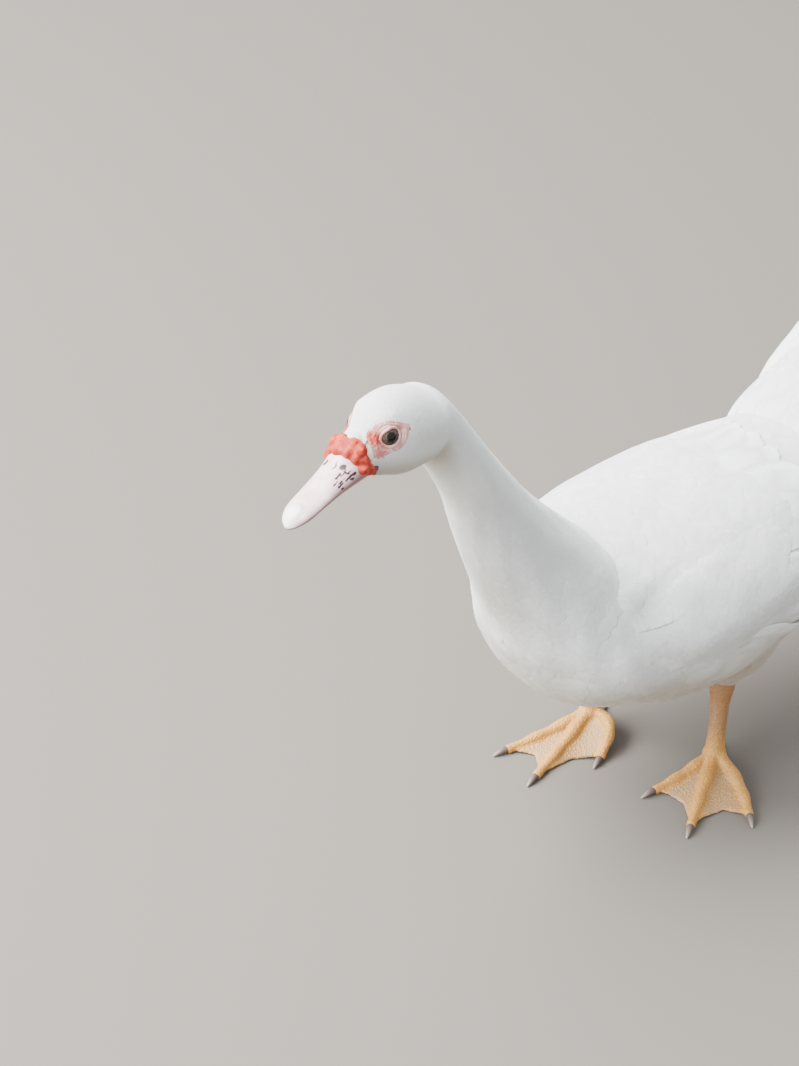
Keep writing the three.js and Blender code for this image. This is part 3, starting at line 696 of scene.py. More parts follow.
def layFeathers(table, ring, side, length, width, deep, proud, turn, draw, shape, lie=-1):
    # at a share s of its length and u of its half width a feather's point is the surface point found
    # s * length along the lie and u * half width across it, raised by proud - deep (1-s)^sink - camber u^2;
    # the half width swells from the quill and rounds off at the tip
    top = np.linspace(-1, 1, shape["across"])
    u = np.concatenate([top, [0.0]])[None, None, :]
    under = np.concatenate([np.zeros(shape["across"]), [1.0]])[None, None, :]
    s = np.linspace(0, 1, shape["stations"])[None, :, None]
    n = len(ring)
    column = lambda values: np.broadcast_to(values, n).astype(float)[:, None, None]
    ring3, side3, length3, width3 = column(ring), column(side), column(length), column(width)
    reach = s * length3
    ragged = 1 + shape["ragged"] * draw.standard_normal((n, shape["stations"], 1)) * s
    rounding = np.sqrt(np.maximum(1 - (np.maximum(s - 0.42, 0) / 0.59) ** shape["blunt"], 0.02))
    half = width3 / 2 * np.minimum(1, 0.35 + 1.9 * s) * rounding
    aside = u * half * ragged + shape["bend"] * column(draw.standard_normal(n)) * length3 * s**2
    c, sn = np.cos(column(turn)), np.sin(column(turn))
    perRing = lie / np.maximum(column(lookUp(table, "along", ring, side)), 0.05)
    perSide = 1 / np.maximum(column(lookUp(table, "around", ring, side)), 0.05)
    atRing = ring3 + (reach * c - aside * sn) * perRing
    atSide = side3 + (reach * sn + aside * c) * perSide
    lift = column(proud) - column(deep) * (1 - s) ** shape["sink"] - shape["camber"] * u**2 * width3 * s
    lift = lift + shape["shingle"] * u * column(np.where(draw.uniform(0, 1, n) < 0.5, 1.0, -1.0))
    lift = lift - under * shape["thick"] * (1.2 - s) + shape["curl"] * column(draw.uniform(-0.4, 1, n)) * s**4
    points = lookUp(table, "point", atRing, atSide) + lookUp(table, "normal", atRing, atSide) * lift[..., None]
    rings, sides = table["along"].shape
    uv = np.stack(np.broadcast_arrays(
        0.002 + 0.993 * ring3 / rings + 0.003 * (u + 1) / 2,
        0.002 + 0.993 * np.mod(side3, sides) / sides + 0.003 * s), -1)
    vane = np.stack(np.broadcast_arrays(aside * 0.1, reach * 0.1), -1)
    tone = np.broadcast_to(column(draw.uniform(0, 1, n)), points.shape[:3])
    faces = facedOut(points, tubeFaces(points.shape[1], points.shape[2], n))
    # how far each feather's patch of surface faces down; the plumage material paints shade from it
    down = -lookUp(table, "normal", atRing, atSide)[..., 2]
    return {"points": points, "faces": faces, "bake": uv, "vane": vane, "tone": tone, "down": down}


def makeCoat(name, parts):
    # several feather fields as one piece; each field keeps its own share of the bake map
    points, quads, ends, bake, vane, tone, down = [], [], {}, [], [], [], []
    start = 0
    for i, part in enumerate(parts):
        points.append(part["points"].reshape(-1, 3))
        quads.append(part["faces"][0] + start)
        ends.setdefault(part["faces"][1].shape[1], []).append(part["faces"][1] + start)
        share = part["bake"].reshape(-1, 2)
        if len(parts) > 1:
            share = share * (1, 0.98 / len(parts)) + (0, i / len(parts))
        bake.append(share)
        vane.append(part["vane"].reshape(-1, 2))
        tone.append(part["tone"].reshape(-1))
        down.append(part["down"].reshape(-1) if "down" in part else 0 * tone[-1])
        start += len(points[-1])
    faces = [np.concatenate(quads)] + [np.concatenate(e) for e in ends.values()]
    maps = {"OFBake": np.concatenate(bake), "vane": np.concatenate(vane)}
    marks = {"tone": np.concatenate(tone), "down": np.concatenate(down)}
    piece = makePiece(name, np.concatenate(points), faces, plumageVane, "plumage", maps, marks, crisp=30)
    print(name, len(piece.data.polygons), "faces")
    return piece


eye = {"forward": 8.6, "up": 1.1, "radius": 6.3, "sunk": 5.1}
bareFace = {  # outline of the bare skin round the eye: forward, up in the head
    "middle": (8.4, 0.8),
    "edge": [
        (18.2, 4.4), (14.4, 7.3), (10.1, 8.3), (6, 8.1), (1.9, 6.3), (-3.2, 2.7), (-2.6, 0.4), (0.2, -3.2),
        (3.4, -6.2), (7.1, -7.4), (11.3, -6.7), (15.4, -8.4), (19.2, -6.8), (19.4, -1.6), (19, 2.4),
    ],
}


def bareEdge(angle):
    # reach of the bare skin from its middle at an angle, along a closed spline through the outline
    rows = np.array(bareFace["edge"], float)
    closed = np.vstack([rows[-1:], rows, rows[:2]])
    line = splineRows(closed, np.linspace(1, len(rows) + 1, 400)) - np.array(bareFace["middle"])
    turn = np.arctan2(line[:, 1], line[:, 0])
    order = np.argsort(turn)
    return np.interp(angle, turn[order], np.hypot(*line.T)[order], period=2 * np.pi)


def inBareFace(points):
    # below 1 inside the bare skin round each eye, the share of the way to its edge
    side, forward, up = headPlace(points)
    f, h = forward - bareFace["middle"][0], up - bareFace["middle"][1]
    share = np.hypot(f, h) / bareEdge(np.arctan2(h, f))
    return np.where(np.abs(side) > 4, share, 9)


featherShapes = {
    "body": {
        "across": 5, "stations": 8, "ragged": 0.05, "camber": 0.006, "thick": 0.22, "curl": 0.05, "bend": 0.05,
        "sink": 3.2, "shingle": 0.05, "blunt": 2.0,
    },
    "neck": {
        "across": 5, "stations": 6, "ragged": 0.07, "camber": 0.006, "thick": 0.18, "curl": 0.04, "bend": 0.06,
        "sink": 3.4, "shingle": 0.03, "blunt": 1.5,
    },
    "head": {
        "across": 3, "stations": 5, "ragged": 0.1, "camber": 0.004, "thick": 0.1, "curl": 0.02, "bend": 0.08,
        "sink": 3.4, "shingle": 0.015, "blunt": 1.4,
    },
}


def makeBodyCoat():
    ring, side, gap, stretch, draw = plantRows(bodyTable, np.interp(ringRow, coat["row"], coat["spacing"]), 7)
    row = ring / stepsPerRow
    length = gap * coat["lengthPerSpacing"] * np.clip(stretch, 0.6, 1.5) * draw.uniform(0.88, 1.12, len(ring))
    width = gap * coat["widthPerSpacing"] * draw.uniform(0.9, 1.15, len(ring))
    turn = np.radians(7) * draw.standard_normal(len(ring))
    where = lookUp(bodyTable, "point", ring, side)
    step = np.maximum(lookUp(bodyTable, "along", ring, side), 0.05)
    tips = lookUp(bodyTable, "point", ring - 0.7 * length / step, side)
    thinned = (stretch > 0.4) | (draw.uniform(0, 1, len(ring)) < stretch * 2)
    keep = (inBareFace(where) > 1.0) & (inBareFace(tips) > 0.97) & thinned
    depth = coatDepth(row)
    # feathers near the bare face get shorter, so that they don't run over it
    near = np.clip((inBareFace(where) - 0.98) * 1.8, 0.4, 1)
    length, depth = length * near, depth * near
    groups = (
        ("coat_rump", 0, 3.2, "body", 0.25), ("coat_belly", 3.2, 5.4, "body", 0.25),
        ("coat_breast", 5.4, 8.2, "body", 0.25), ("coat_neck", 8.2, 12.6, "neck", 0.12),
        ("coat_head", 12.6, 19, "head", 0.1),
    )
    for name, low, high, kind, proud in groups:
        m = keep & (row >= low) & (row < high)
        part = layFeathers(
            bodyTable, ring[m], side[m], length[m], width[m], depth[m], proud, turn[m], draw, featherShapes[kind])
        part["points"] = overWing(part["points"], where[m])
        makeCoat(name, [part])


makeBodyCoat()


flank = {"from": 0.1, "to": 0.74, "count": 46, "length": 34, "width": 15, "upward": 0.34}


def makeFlankFeathers():
    # longer feathers rooted under the wing's lower edge, turned a little upward so that they cover it
    parts = []
    draw = np.random.default_rng(33)
    grid, n = bodyTable["point"][::4, ::4], flank["count"]
    shape = {**featherShapes["body"], "stations": 12, "curl": 0.5, "bend": 0.08}
    for sign in (1, -1):
        t = np.linspace(flank["from"], flank["to"], n) + draw.uniform(-0.01, 0.01, n)
        _, lower = wingEdges(t)
        y = wing["from"] + (wing["to"] - wing["from"]) * t
        want = onMantle(y, lower + 3 + 15 * draw.uniform(0, 1, n), 0, sign)
        found = ((grid[None] - want[:, None, None]) ** 2).sum(-1).reshape(n, -1).argmin(1)
        ring, side = found // grid.shape[1] * 4.0, found % grid.shape[1] * 4.0
        length, width = flank["length"] * draw.uniform(0.8, 1.1, n), flank["width"] * draw.uniform(0.85, 1.15, n)
        turn = -sign * flank["upward"] + 0.12 * draw.standard_normal(n)
        part = layFeathers(bodyTable, ring, side, length, width, 4.5, 0.8, turn, draw, shape)
        part["points"] = overWing(part["points"], want, 0.9)
        parts.append(part)
    makeCoat("flank_feathers", parts)


makeFlankFeathers()


def makeThighCoats():
    parts = []
    for i, leg in enumerate(legs.values()):
        table = surfaceTable(limbGrid(thighRows(leg["heel"]), 60, 80))
        ring, side, _, _, draw = plantRows(table, 5.0, 20 + i)
        length = 17 * draw.uniform(0.85, 1.15, len(ring))
        turn = 0.15 * draw.standard_normal(len(ring))
        parts.append(layFeathers(table, ring, side, length, 9.5, 3.0, 0.3, turn, draw, featherShapes["neck"], lie=1))
    makeCoat("coat_thighs", parts)


makeThighCoats()

# wings


def bladeTier(place, tier, seed):
    # a tier of long feathers on a bent sheet given by place(first, second, lift): the shaft runs from root to
    # tip, u * half width goes off across it, and one edge lies higher than the next feather's
    draw = np.random.default_rng(seed)
    n = tier["count"]
    slide = np.linspace(0, 1, n)[:, None]
    mix = lambda key: np.array(tier[key][0], float) * (1 - slide) + np.array(tier[key][1], float) * slide
    root, tip = mix("root"), mix("tip")
    tip = tip + draw.normal(0, tier.get("uneven", 1.2), tip.shape)
    width = (tier["width"][0] + (tier["width"][1] - tier["width"][0]) * slide)[:, :, None]
    span = np.linalg.norm(tip - root, axis=1, keepdims=True)
    across = np.stack([-(tip - root)[:, 1], (tip - root)[:, 0]], 1) / span
    stations, count = tier.get("stations", 16), 9
    t = np.linspace(0, 1, stations)[None, :, None]
    top = np.linspace(-1, 1, count)
    u = np.concatenate([top, top[::-1][1:-1]])[None, None, :]
    under = np.concatenate([np.zeros(count), np.ones(count - 2)])[None, None, :]
    blunt = tier.get("blunt", 4)
    rounding = np.sqrt(np.maximum(1 - (np.maximum(t - 0.45, 0) / 0.56) ** blunt, 0.015))
    half = 0.5 * width * np.minimum(1, 0.5 + 1.7 * t) * rounding
    notch = draw.standard_normal((n, stations, count))
    notch = 1 + 0.018 * np.concatenate([notch, notch[..., ::-1][..., 1:-1]], -1) * np.abs(u) ** 3
    off = u * half * notch
    along = t - 0.03 * u**2 * t**6
    start, run, aside = (v.T[:, :, None, None] for v in (root, tip - root, across))
    first, second = start + run * along + aside * off
    lift = tier["lift"][0] + (tier["lift"][1] - tier["lift"][0]) * t ** 0.8
    if tier.get("onWing"):
        lift = np.maximum(wingLift(first, second) - 1.6 * (1 - t) ** 2 + tier["onWing"] * t**1.5, lift)
    lift = lift + tier["slant"] * off / 10 - tier.get("camber", 0.35) * u**2
    lift = lift + 0.35 * np.exp(-((u / 0.12) ** 2)) * (1 - t) * (1 - under)
    lift = lift - under * tier.get("thick", 0.5) + 0.3 * np.sin(5 * t + draw.uniform(0, 6, n)[:, None, None]) * t
    points = place(first, second, lift)
    bake = np.stack(np.broadcast_arrays(
        0.01 + 0.9 * slide[:, :, None] + 0.003 * (u + 1) / 2, tier["bakeRow"] + 0.003 * t), -1)
    vane = np.stack(np.broadcast_arrays(off * 0.1, t * span[:, :, None] * 0.1), -1)
    tone = np.broadcast_to(draw.uniform(0, 1, n)[:, None, None], points.shape[:3])
    faces = facedOut(points, tubeFaces(points.shape[1], points.shape[2], n))
    return {"points": points, "faces": faces, "bake": bake, "vane": vane, "tone": tone}


flankTuft = {
    "count": 4, "root": [[-34, 88], [-18, 99]], "tip": [[24, 104], [44, 112]], "width": [10, 9], "lift": [-2.0, 3.4],
    "slant": -0.5, "bakeRow": 0.5, "blunt": 2.2, "uneven": 2.5, "thick": 0.3, "camber": 0.5,
}
wingTiers = {
    "primaries": {
        "count": 7, "root": [[80, 42], [84, 70]], "tip": [[212, 39], [168, 60]], "width": [17, 14],
        "lift": [0.9, 1.0], "slant": -1.2, "bakeRow": 0.1, "stations": 20,
    },
    "secondaries": {
        "count": 11, "root": [[44, 26], [40, 92]], "tip": [[138, 47], [100, 97]], "width": [22, 15],
        "lift": [0.6, 2.6], "slant": -0.5, "bakeRow": 0.25, "onWing": 0.7,
    },
    "tertials": {
        "count": 4, "root": [[22, 20], [26, 42]], "tip": [[112, 20], [126, 44]], "width": [27, 24],
        "lift": [0.8, 3.6], "slant": -0.4, "bakeRow": 0.4, "blunt": 3, "onWing": 1.4,
    },
    "greaterCoverts": {
        "count": 12, "root": [[14, 32], [6, 92]], "tip": [[82, 36], [62, 98]], "width": [19, 13],
        "lift": [0.6, 3.2], "slant": -0.4, "bakeRow": 0.55, "onWing": 0.7, "blunt": 2.6, "uneven": 3.0,
        "thick": 0.4, "camber": 0.2,
    },
    "middleCoverts": {
        "count": 19, "root": [[-14, 28], [-16, 92]], "tip": [[44, 31], [34, 97]], "width": [17, 12],
        "lift": [0.5, 1.5], "slant": -0.3, "bakeRow": 0.7, "stations": 14, "onWing": 0.4, "blunt": 2.2,
        "uneven": 4.5, "thick": 0.3, "camber": 0.15,
    },
}


def wingShellGrid(side, rings=90, sides=70, grow=0.0):
    # the swollen front of the wing between its edges
    t = np.linspace(0, 1, rings)[:, None]
    upper, lower = wingEdges(t)
    arc = upper + (lower - upper) * np.linspace(0, 1, sides)[None]
    y = wing["from"] + (wing["to"] - wing["from"]) * t + 0 * arc
    return onMantle(y, arc, wingLift(y, arc) + grow, side)


def makeWing(name, side):
    shell = wingShellGrid(side)
    parts = []
    place = lambda y, arc, lift: onMantle(y, arc, lift, side)
    for i, tier in enumerate(wingTiers.values()):
        parts.append(bladeTier(place, tier, 40 + i + (0 if side > 0 else 20)))
    feathers = makeCoat(f"wing_feathers_{name}", parts)
    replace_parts(feathers, f"wing_{name}")
    # small coverts over the front
    table = surfaceTable(shell, False, (0, 20, 100))
    ring, sideAt, gap, _, draw = plantRows(table, np.linspace(5.2, 7.6, shell.shape[0]), 60 + side)
    keep = ring < 0.5 * shell.shape[0]
    ring, sideAt, gap = ring[keep], sideAt[keep], gap[keep]
    n = len(ring)
    turn = 0.12 * draw.standard_normal(n)
    length, proud = gap * 4.3 * draw.uniform(0.9, 1.12, n), 0.9 * softStep(ring / 14)
    part = layFeathers(
        table, ring, sideAt, length, gap * 3.0, 2.6, proud, turn, draw, featherShapes["body"], lie=1)
    makeCoat(f"wing_small_coverts_{name}", [part])
    # the arm under the coverts
    core = np.concatenate([wingShellGrid(side, 60, 40, -0.9), wingShellGrid(side, 60, 40, -5.0)[:, ::-1]], 1)
    points, faces = joinGrids([core])
    makePiece(f"wing_arm_{name}", points, faces, plumageSkin, "plumage")


makeWing("left", 1)
makeWing("right", -1)

# scapulars: long soft feathers over the shoulders that hide where wing and back meet

longScapulars = {
    "count": 5, "root": [[6, 2], [2, 36]], "tip": [[76, 5], [84, 33]], "width": [26, 24], "lift": [3.0, 7.2],
    "slant": -0.4, "bakeRow": 0.85, "blunt": 3, "uneven": 3.0, "camber": 0.6,
}


def makeScapulars():
    y = np.linspace(-92, 150, 120)[:, None]
    arc = np.linspace(-58, 58, 120)[None]
    edge = softStep((y + 92) / 26) * softStep((150 - y) / 50)
    over = edge * softStep((58 - np.abs(arc)) / 26)
    rear = softStep((y - 60) / 40)
    body = np.clip(bodyHeight(y, np.abs(arc)), -9, 4) * (1 - rear) + 0.9 * rear
    height = (body - 0.5) * (1 - over) + (5.6 + mantleWave(y, arc)) * over
    height = np.maximum(height, wingLift(y, np.abs(arc)) + 0.4 * edge)
    table = surfaceTable(onMantle(y + 0 * arc, arc + 0 * y, height), False, (0, 20, 100))
    ring, side, gap, _, draw = plantRows(table, np.interp(np.arange(120), [0, 40, 119], [6.0, 9.0, 10]), 90)
    n = len(ring)
    turn = 0.08 * draw.standard_normal(n)
    length = gap * 4.2 * draw.uniform(0.9, 1.1, n)
    part = layFeathers(table, ring, side, length, gap * 3.0, 4.5, 0.3, turn, draw, featherShapes["body"], lie=1)
    makeCoat("scapulars", [part])
    ends = []
    for side in (1, -1):
        place = lambda first, second, lift: onMantle(first, second, lift, side)
        ends.append(bladeTier(place, longScapulars, 95 + side))
    makeCoat("long_scapulars", ends)
    tufts = [bladeTier(lambda y, arc, lift: onMantle(y, arc, lift, side), flankTuft, 97 + side) for side in (1, -1)]
    makeCoat("flank_tufts", tufts)


makeScapulars()

# tail

tailFan = {"y": 103, "root": 33, "spread": 13, "long": 157, "short": 99, "width": 25, "roof": 0.0018}


def tailPlane(y):
    return 163 + 0.34 * (y - 108) - 0.0004 * (y - 108) ** 2


def onTail(y, x, lift):
    # the fan rises to the rear and droops to its sides
    return np.stack(np.broadcast_arrays(x, y - 0.42 * lift, tailPlane(y) - tailFan["roof"] * x**2 + 0.9 * lift), -1)


def makeTail():
    count = 16
    s = np.linspace(-1, 1, count)
    turn = np.radians(tailFan["spread"] * s)
    reach = tailFan["long"] + (tailFan["short"] - tailFan["long"]) * np.abs(s) ** 2.2
    draw = np.random.default_rng(5)
    reach = reach + draw.normal(0, 1.2, count)
    col = lambda v: np.asarray(v)[:, None, None]
    stations, top = 20, np.linspace(-1, 1, 9)
    t = np.linspace(0, 1, stations)[None, :, None]
    u = np.concatenate([top, top[::-1][1:-1]])[None, None, :]
    under = np.concatenate([np.zeros(9), np.ones(7)])[None, None, :]
    rounding = np.sqrt(np.maximum(1 - (np.maximum(t - 0.4, 0) / 0.61) ** 5, 0.02))
    half = 0.5 * tailFan["width"] * np.minimum(1, 0.5 + 1.4 * t) * rounding
    notch = draw.standard_normal((count, stations, 9))
    off = u * half * (1 + 0.015 * np.concatenate([notch, notch[..., ::-1][..., 1:-1]], -1) * np.abs(u) ** 3)
    along = col(reach) * t
    x = col(tailFan["root"] * s) + np.sin(col(turn)) * along + np.cos(col(turn)) * off
    y = tailFan["y"] + np.cos(col(turn)) * along - np.sin(col(turn)) * off
    layer = (1 - np.abs(col(s))) * 1.25 * 4
    shaft = 0.4 * np.exp(-((u / 0.12) ** 2)) * (1 - t) * (1 - under)
    lift = layer + np.sign(col(s)) * off * 0.05 - 0.8 * u**2 + shaft - 0.5 * under
    points = onTail(y, x, lift)
    bake = np.stack(np.broadcast_arrays(
        0.02 + 0.94 * col(np.linspace(0, 1, count)) + 0.003 * (u + 1) / 2, 0.2 + 0.003 * t), -1)
    vane = np.stack(np.broadcast_arrays(off * 0.1, along * 0.1), -1)
    tone = np.broadcast_to(col(draw.uniform(0, 1, count)), points.shape[:3])
    faces = facedOut(points, tubeFaces(stations, u.shape[2], count))
    fan = {"points": points, "faces": faces, "bake": bake, "vane": vane, "tone": tone}
    # coverts above and below grow from the fleshy root
    root = surfaceTable(loftGrid(planeRows(tailRootRows), 120, 120))
    ring, side, gap, _, draw = plantRows(root, np.linspace(7, 8, 120), 77)
    length = gap * 4.2 * draw.uniform(0.9, 1.15, len(ring))
    aside = 0.08 * draw.standard_normal(len(ring))
    coverts = layFeathers(root, ring, side, length, gap * 2.0, 4.0, 0.4, aside, draw, featherShapes["body"], lie=1)
    y, x = np.linspace(88, 182, 80)[:, None], np.linspace(-46, 46, 70)[None]
    over = 0.4 + 6.2 * softStep((182 - y) / 60) * (1 - np.abs(x / 50) ** 3)
    roof = surfaceTable(onTail(y + 0 * x, x + 0 * y, over), False, (0, 100, 60))
    ring, side, gap, _, draw = plantRows(roof, np.linspace(7.5, 8.5, 80), 78)
    aside = (side / 69 - 0.5) * 0.35 + 0.06 * draw.standard_normal(len(ring))
    length = gap * 4.4 * draw.uniform(0.9, 1.15, len(ring))
    upper = layFeathers(roof, ring, side, length, gap * 2.3, 5.5, 0.3, aside, draw, featherShapes["body"], lie=1)
    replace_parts(makeCoat("tail_feathers", [fan]), "tail")
    makeCoat("tail_coverts", [coverts, upper])


makeTail()
print("wings and tail laid")

# bill

billRows = [  # forward, culmen, tomium, keel, half width
    (22.5, 4.6, -13, -19.5, 12), (31, 0, -12.6, -19, 11.4), (42, -5, -12.8, -18.2, 10.4), (56, -8.8, -13.8, -18.2, 9.8),
    (68, -10.8, -15.2, -18.8, 8.9), (75, -12.6, -16.6, -18.8, 6), (78, -15, -17.6, -18.6, 2.7),
    (79, -16.8, -17.9, -18.2, 0.7),
]
bill = {"rings": 110, "sides": 72, "mouthGap": 0.18, "nostril": (6.6, 38, -3.6), "nail": (0, 72, -13.2)}


def billGrid(upper):
    # each ring is a half oval over or under the line of the mouth, flat along it
    v = splineRows(billRows, np.linspace(0, len(billRows) - 1, bill["rings"]))
    forward, culmen, tomium, keel, half = (v[:, k][:, None] for k in range(5))
    a = (2 * np.pi * np.arange(bill["sides"]) / bill["sides"])[None]
    reach = culmen - tomium if upper else keel - tomium
    wide = half * (1 if upper else 0.88)
    dome = np.maximum(np.cos(a), 0) ** 0.85
    rise = np.sign(reach) * bill["mouthGap"]
    side, height = np.sin(a) * wide, tomium + reach * dome + rise
    forward = forward + 0 * a
    if upper:
        for s in (1, -1):
            n = bill["nostril"]
            d = np.hypot((forward - n[1]) / 3.8, (height - n[2]) / 1.7) + np.where(s * side > 0, 0, 9)
            side = side - s * 1.9 * np.exp(-(d**2) * 1.4)
        n = bill["nail"]
        d = np.hypot((forward - n[1]) / 5.6, side / 4.2)
        height = height + 0.7 / (1 + np.exp((d - 1) * 14)) * (dome > 0.05)
    share = (height - tomium) / np.maximum(np.abs(reach), 1)
    return inHead(side, forward + 0.3, height), forward, np.abs(side) / 12, share


def billMaterial():
    # pale pink horn with painted shade along the mouth line and over the lower bill, dark stains near the root and a
    # paler nail
    material, tree, shader = newMaterial("billHorn", (0.74, 0.6, 0.58), 0.42)
    shader.inputs["Subsurface Weight"].default_value = 0.12
    shader.inputs["Subsurface Scale"].default_value = 0.002
    rosy = rampOf(tree, noiseOf(tree, 120, 3), 0.35, 0.7)
    color = mixColors(tree, rosy, (0.72, 0.57, 0.56), (0.6, 0.42, 0.43))
    # painted shade in the mouth line and under the upper bill
    color = mixColors(tree, markOf(tree, "edge"), color, (0.26, 0.1, 0.11))
    color = mixColors(tree, markOf(tree, "nail"), color, (0.82, 0.78, 0.74))
    stain = mathOf(tree, "MULTIPLY_ADD", markOf(tree, "stain"), 0.7, noiseOf(tree, 420, 2))
    colorOf(tree, shader, mixColors(tree, rampOf(tree, stain, 0.74, 0.86), color, (0.045, 0.01, 0.022)))
    bumpOf(tree, shader, noiseOf(tree, 700, 4), 0.25, 0.0003)
    return material


billHorn = billMaterial()


billStreaks = [  # forward, share of the height, reach, width, side
    (36, 0.86, 1.6, 0.07, 1), (42, 0.86, 2.8, 0.04, 1), (46, 0.76, 2.4, 0.035, 1), (35, 0.2, 2.4, 0.07, 1),
    (39, 0.74, 3.4, 0.035, 1), (42, 0.62, 4.2, 0.04, 1), (36, 0.62, 2.6, 0.035, 1), (45, 0.5, 2.6, 0.03, 1),
    (37, 0.5, 3.6, 0.04, 1), (34, 0.42, 1.8, 0.06, 1), (40, 0.38, 2.8, 0.035, 1), (44, 0.27, 1.3, 0.06, 1),
    (36, 0.3, 1.6, 0.045, 1), (37, 0.8, 2.4, 0.05, -1), (40, 0.58, 3.6, 0.04, -1), (36, 0.4, 2.8, 0.05, -1),
    (43, 0.36, 1.8, 0.04, -1), (38, 0.68, 2.2, 0.03, -1),
]


def makeBill():
    leftward = np.sign(np.sin(2 * np.pi * np.arange(bill["sides"]) / bill["sides"]))[None]
    for name, upper in (("bill_upper", True), ("bill_lower", False)):
        points, forward, across, height = billGrid(upper)
        faces = facedOut(points, tubeFaces(*points.shape[:2]))
        # painted shade: dark over the lowest part of the upper bill along the mouth line, and over nearly all of the
        # lower bill
        edge = softStep(1 - height / 0.42) if upper else np.full(height.shape, 0.9)
        nail = np.clip((forward - 68) / 3, 0, 1) * (np.clip(1.5 - across * 2.4, 0, 1) if upper else 0.0 * across)
        stain = 0 * forward
        if upper:  # dark streaks along the horn: each is a long thin bell
            for at, high, reach, wide, sign in billStreaks:
                near = np.exp(-(((forward - at) / reach) ** 2) - (((height - high) / wide) ** 2))
                stain = np.maximum(stain, near * (across * leftward * sign > 0.05))
        marks = {"edge": edge, "nail": nail, "stain": stain}
        made = makePiece(name + "_horn", points, faces, billHorn, "bill", marks=marks)
        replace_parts(made, name)


makeBill()

# caruncles

bulbs = [  # side, forward, up, radius
    (0, 25.6, 1.6, 4.0), (4.2, 25, 2.0, 4.2), (-4.2, 25, 2.0, 4.2), (7.6, 25.4, 0.2, 4.3), (-7.6, 25.4, 0.2, 4.3),
    (3.4, 29.4, -0.2, 3.9), (-3.4, 29.4, -0.2, 3.9), (7.6, 29.2, -2.6, 3.5), (-7.6, 29.2, -2.6, 3.5), (0, 29.6, 0, 3.4),
    (10.2, 26.4, -5.0, 3.8), (-10.2, 26.4, -5.0, 3.8), (11, 28.4, -8.2, 3.6), (-11, 28.4, -8.2, 3.6),
    (11.4, 25, -10.4, 3.6), (-11.4, 25, -10.4, 3.6), (11.2, 22, -13.2, 2.6), (-11.2, 22, -13.2, 2.6),
]


def ballGrid(centre, radius, rings=14, sides=20):
    # a sphere as rings: radius sin(polar) round, radius cos(polar) up
    polar = np.linspace(0.05, np.pi - 0.05, rings)[:, None]
    a = (2 * np.pi * np.arange(sides) / sides)[None]
    unit = np.stack(np.broadcast_arrays(np.sin(polar) * np.cos(a), np.sin(polar) * np.sin(a), np.cos(polar)), -1)
    return np.asarray(centre) + radius * unit


def caruncleMaterial():
    material, tree, shader = newMaterial("caruncleSkin", (0.5, 0.07, 0.03), 0.6)
    shader.inputs["Specular IOR Level"].default_value = 0.3
    shader.inputs["Subsurface Weight"].default_value = 0.15
    shader.inputs["Subsurface Scale"].default_value = 0.002
    warm = rampOf(tree, noiseOf(tree, 260, 3), 0.35, 0.68)
    color = mixColors(tree, warm, (0.25, 0.012, 0.006), (0.45, 0.05, 0.018))
    colorOf(tree, shader, color)
    bumpOf(tree, shader, noiseOf(tree, 900, 3), 0.5, 0.0006)
    return material


caruncleSkin = caruncleMaterial()


def makeCaruncles():
    # the main lumps carry small warts, all melted into one
    draw = np.random.default_rng(11)
    grids = []
    for side, forward, up, radius in bulbs:
        r = radius * headPose["scale"]
        centre = inHead(side, forward, up)
        grids.append(ballGrid(centre, r))
        way = draw.standard_normal((5, 3))
        way /= np.linalg.norm(way, axis=1, keepdims=True)
        size = r * draw.uniform(0.3, 0.55, 5)
        grids += [ballGrid(centre + w * (r - 0.55 * k), k, 8, 12) for w, k in zip(way, size)]
    points, faces = joinGrids(grids)
    piece = makePiece("caruncle_lumps", points, faces, caruncleSkin, "caruncles")
    meltTogether(piece, 0.5, 9)
    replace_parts(piece, "caruncles")


makeCaruncles()


forehead = {"middle": (0, 19.5, -0.6), "reach": (7.2, 9.2, 6.9), "spacing": 1.35}
# a dark ball in each corner of the mouth: painted shadow in the gape
mouthCorner = {"at": (12.0, 21.2, -12.8), "reach": (1.7, 3.0, 2.0), "color": (0.09, 0.02, 0.03)}


def makeForehead():
    # the feathers run forward in a tongue between the two halves of the caruncles
    turned = np.array([[1, 0, 0], [0, 0, -1], [0, 1, 0]])  # rings from the front to the back
    local = ballGrid((0, 0, 0), 1, 90, 90) @ turned * forehead["reach"] + forehead["middle"]
    local = local if local[0, 0, 1] > local[-1, 0, 1] else local[::-1]
    table = surfaceTable(inHead(*np.moveaxis(local, -1, 0)))
    ring, side, _, _, draw = plantRows(table, forehead["spacing"], 52)
    place = local[np.clip(ring.astype(int), 0, 89), np.mod(side.astype(int), 90)]
    keep = (place[:, 2] > 0.2) & (place[:, 1] > 17)
    n = int(keep.sum())
    length, turn = 5.2 * draw.uniform(0.85, 1.1, n), 0.1 * draw.standard_normal(n)
    part = layFeathers(
        table, ring[keep], side[keep], length, 3.4, 1.0, 0.15, turn, draw, featherShapes["head"], lie=1)
    makeCoat("forehead_feathers", [part])
    inner = table["point"] - table["normal"] * 0.9
    points, faces = joinGrids([inner[::3, ::3]])
    makePiece("forehead_skin", points, faces, plumageSkin, "plumage")


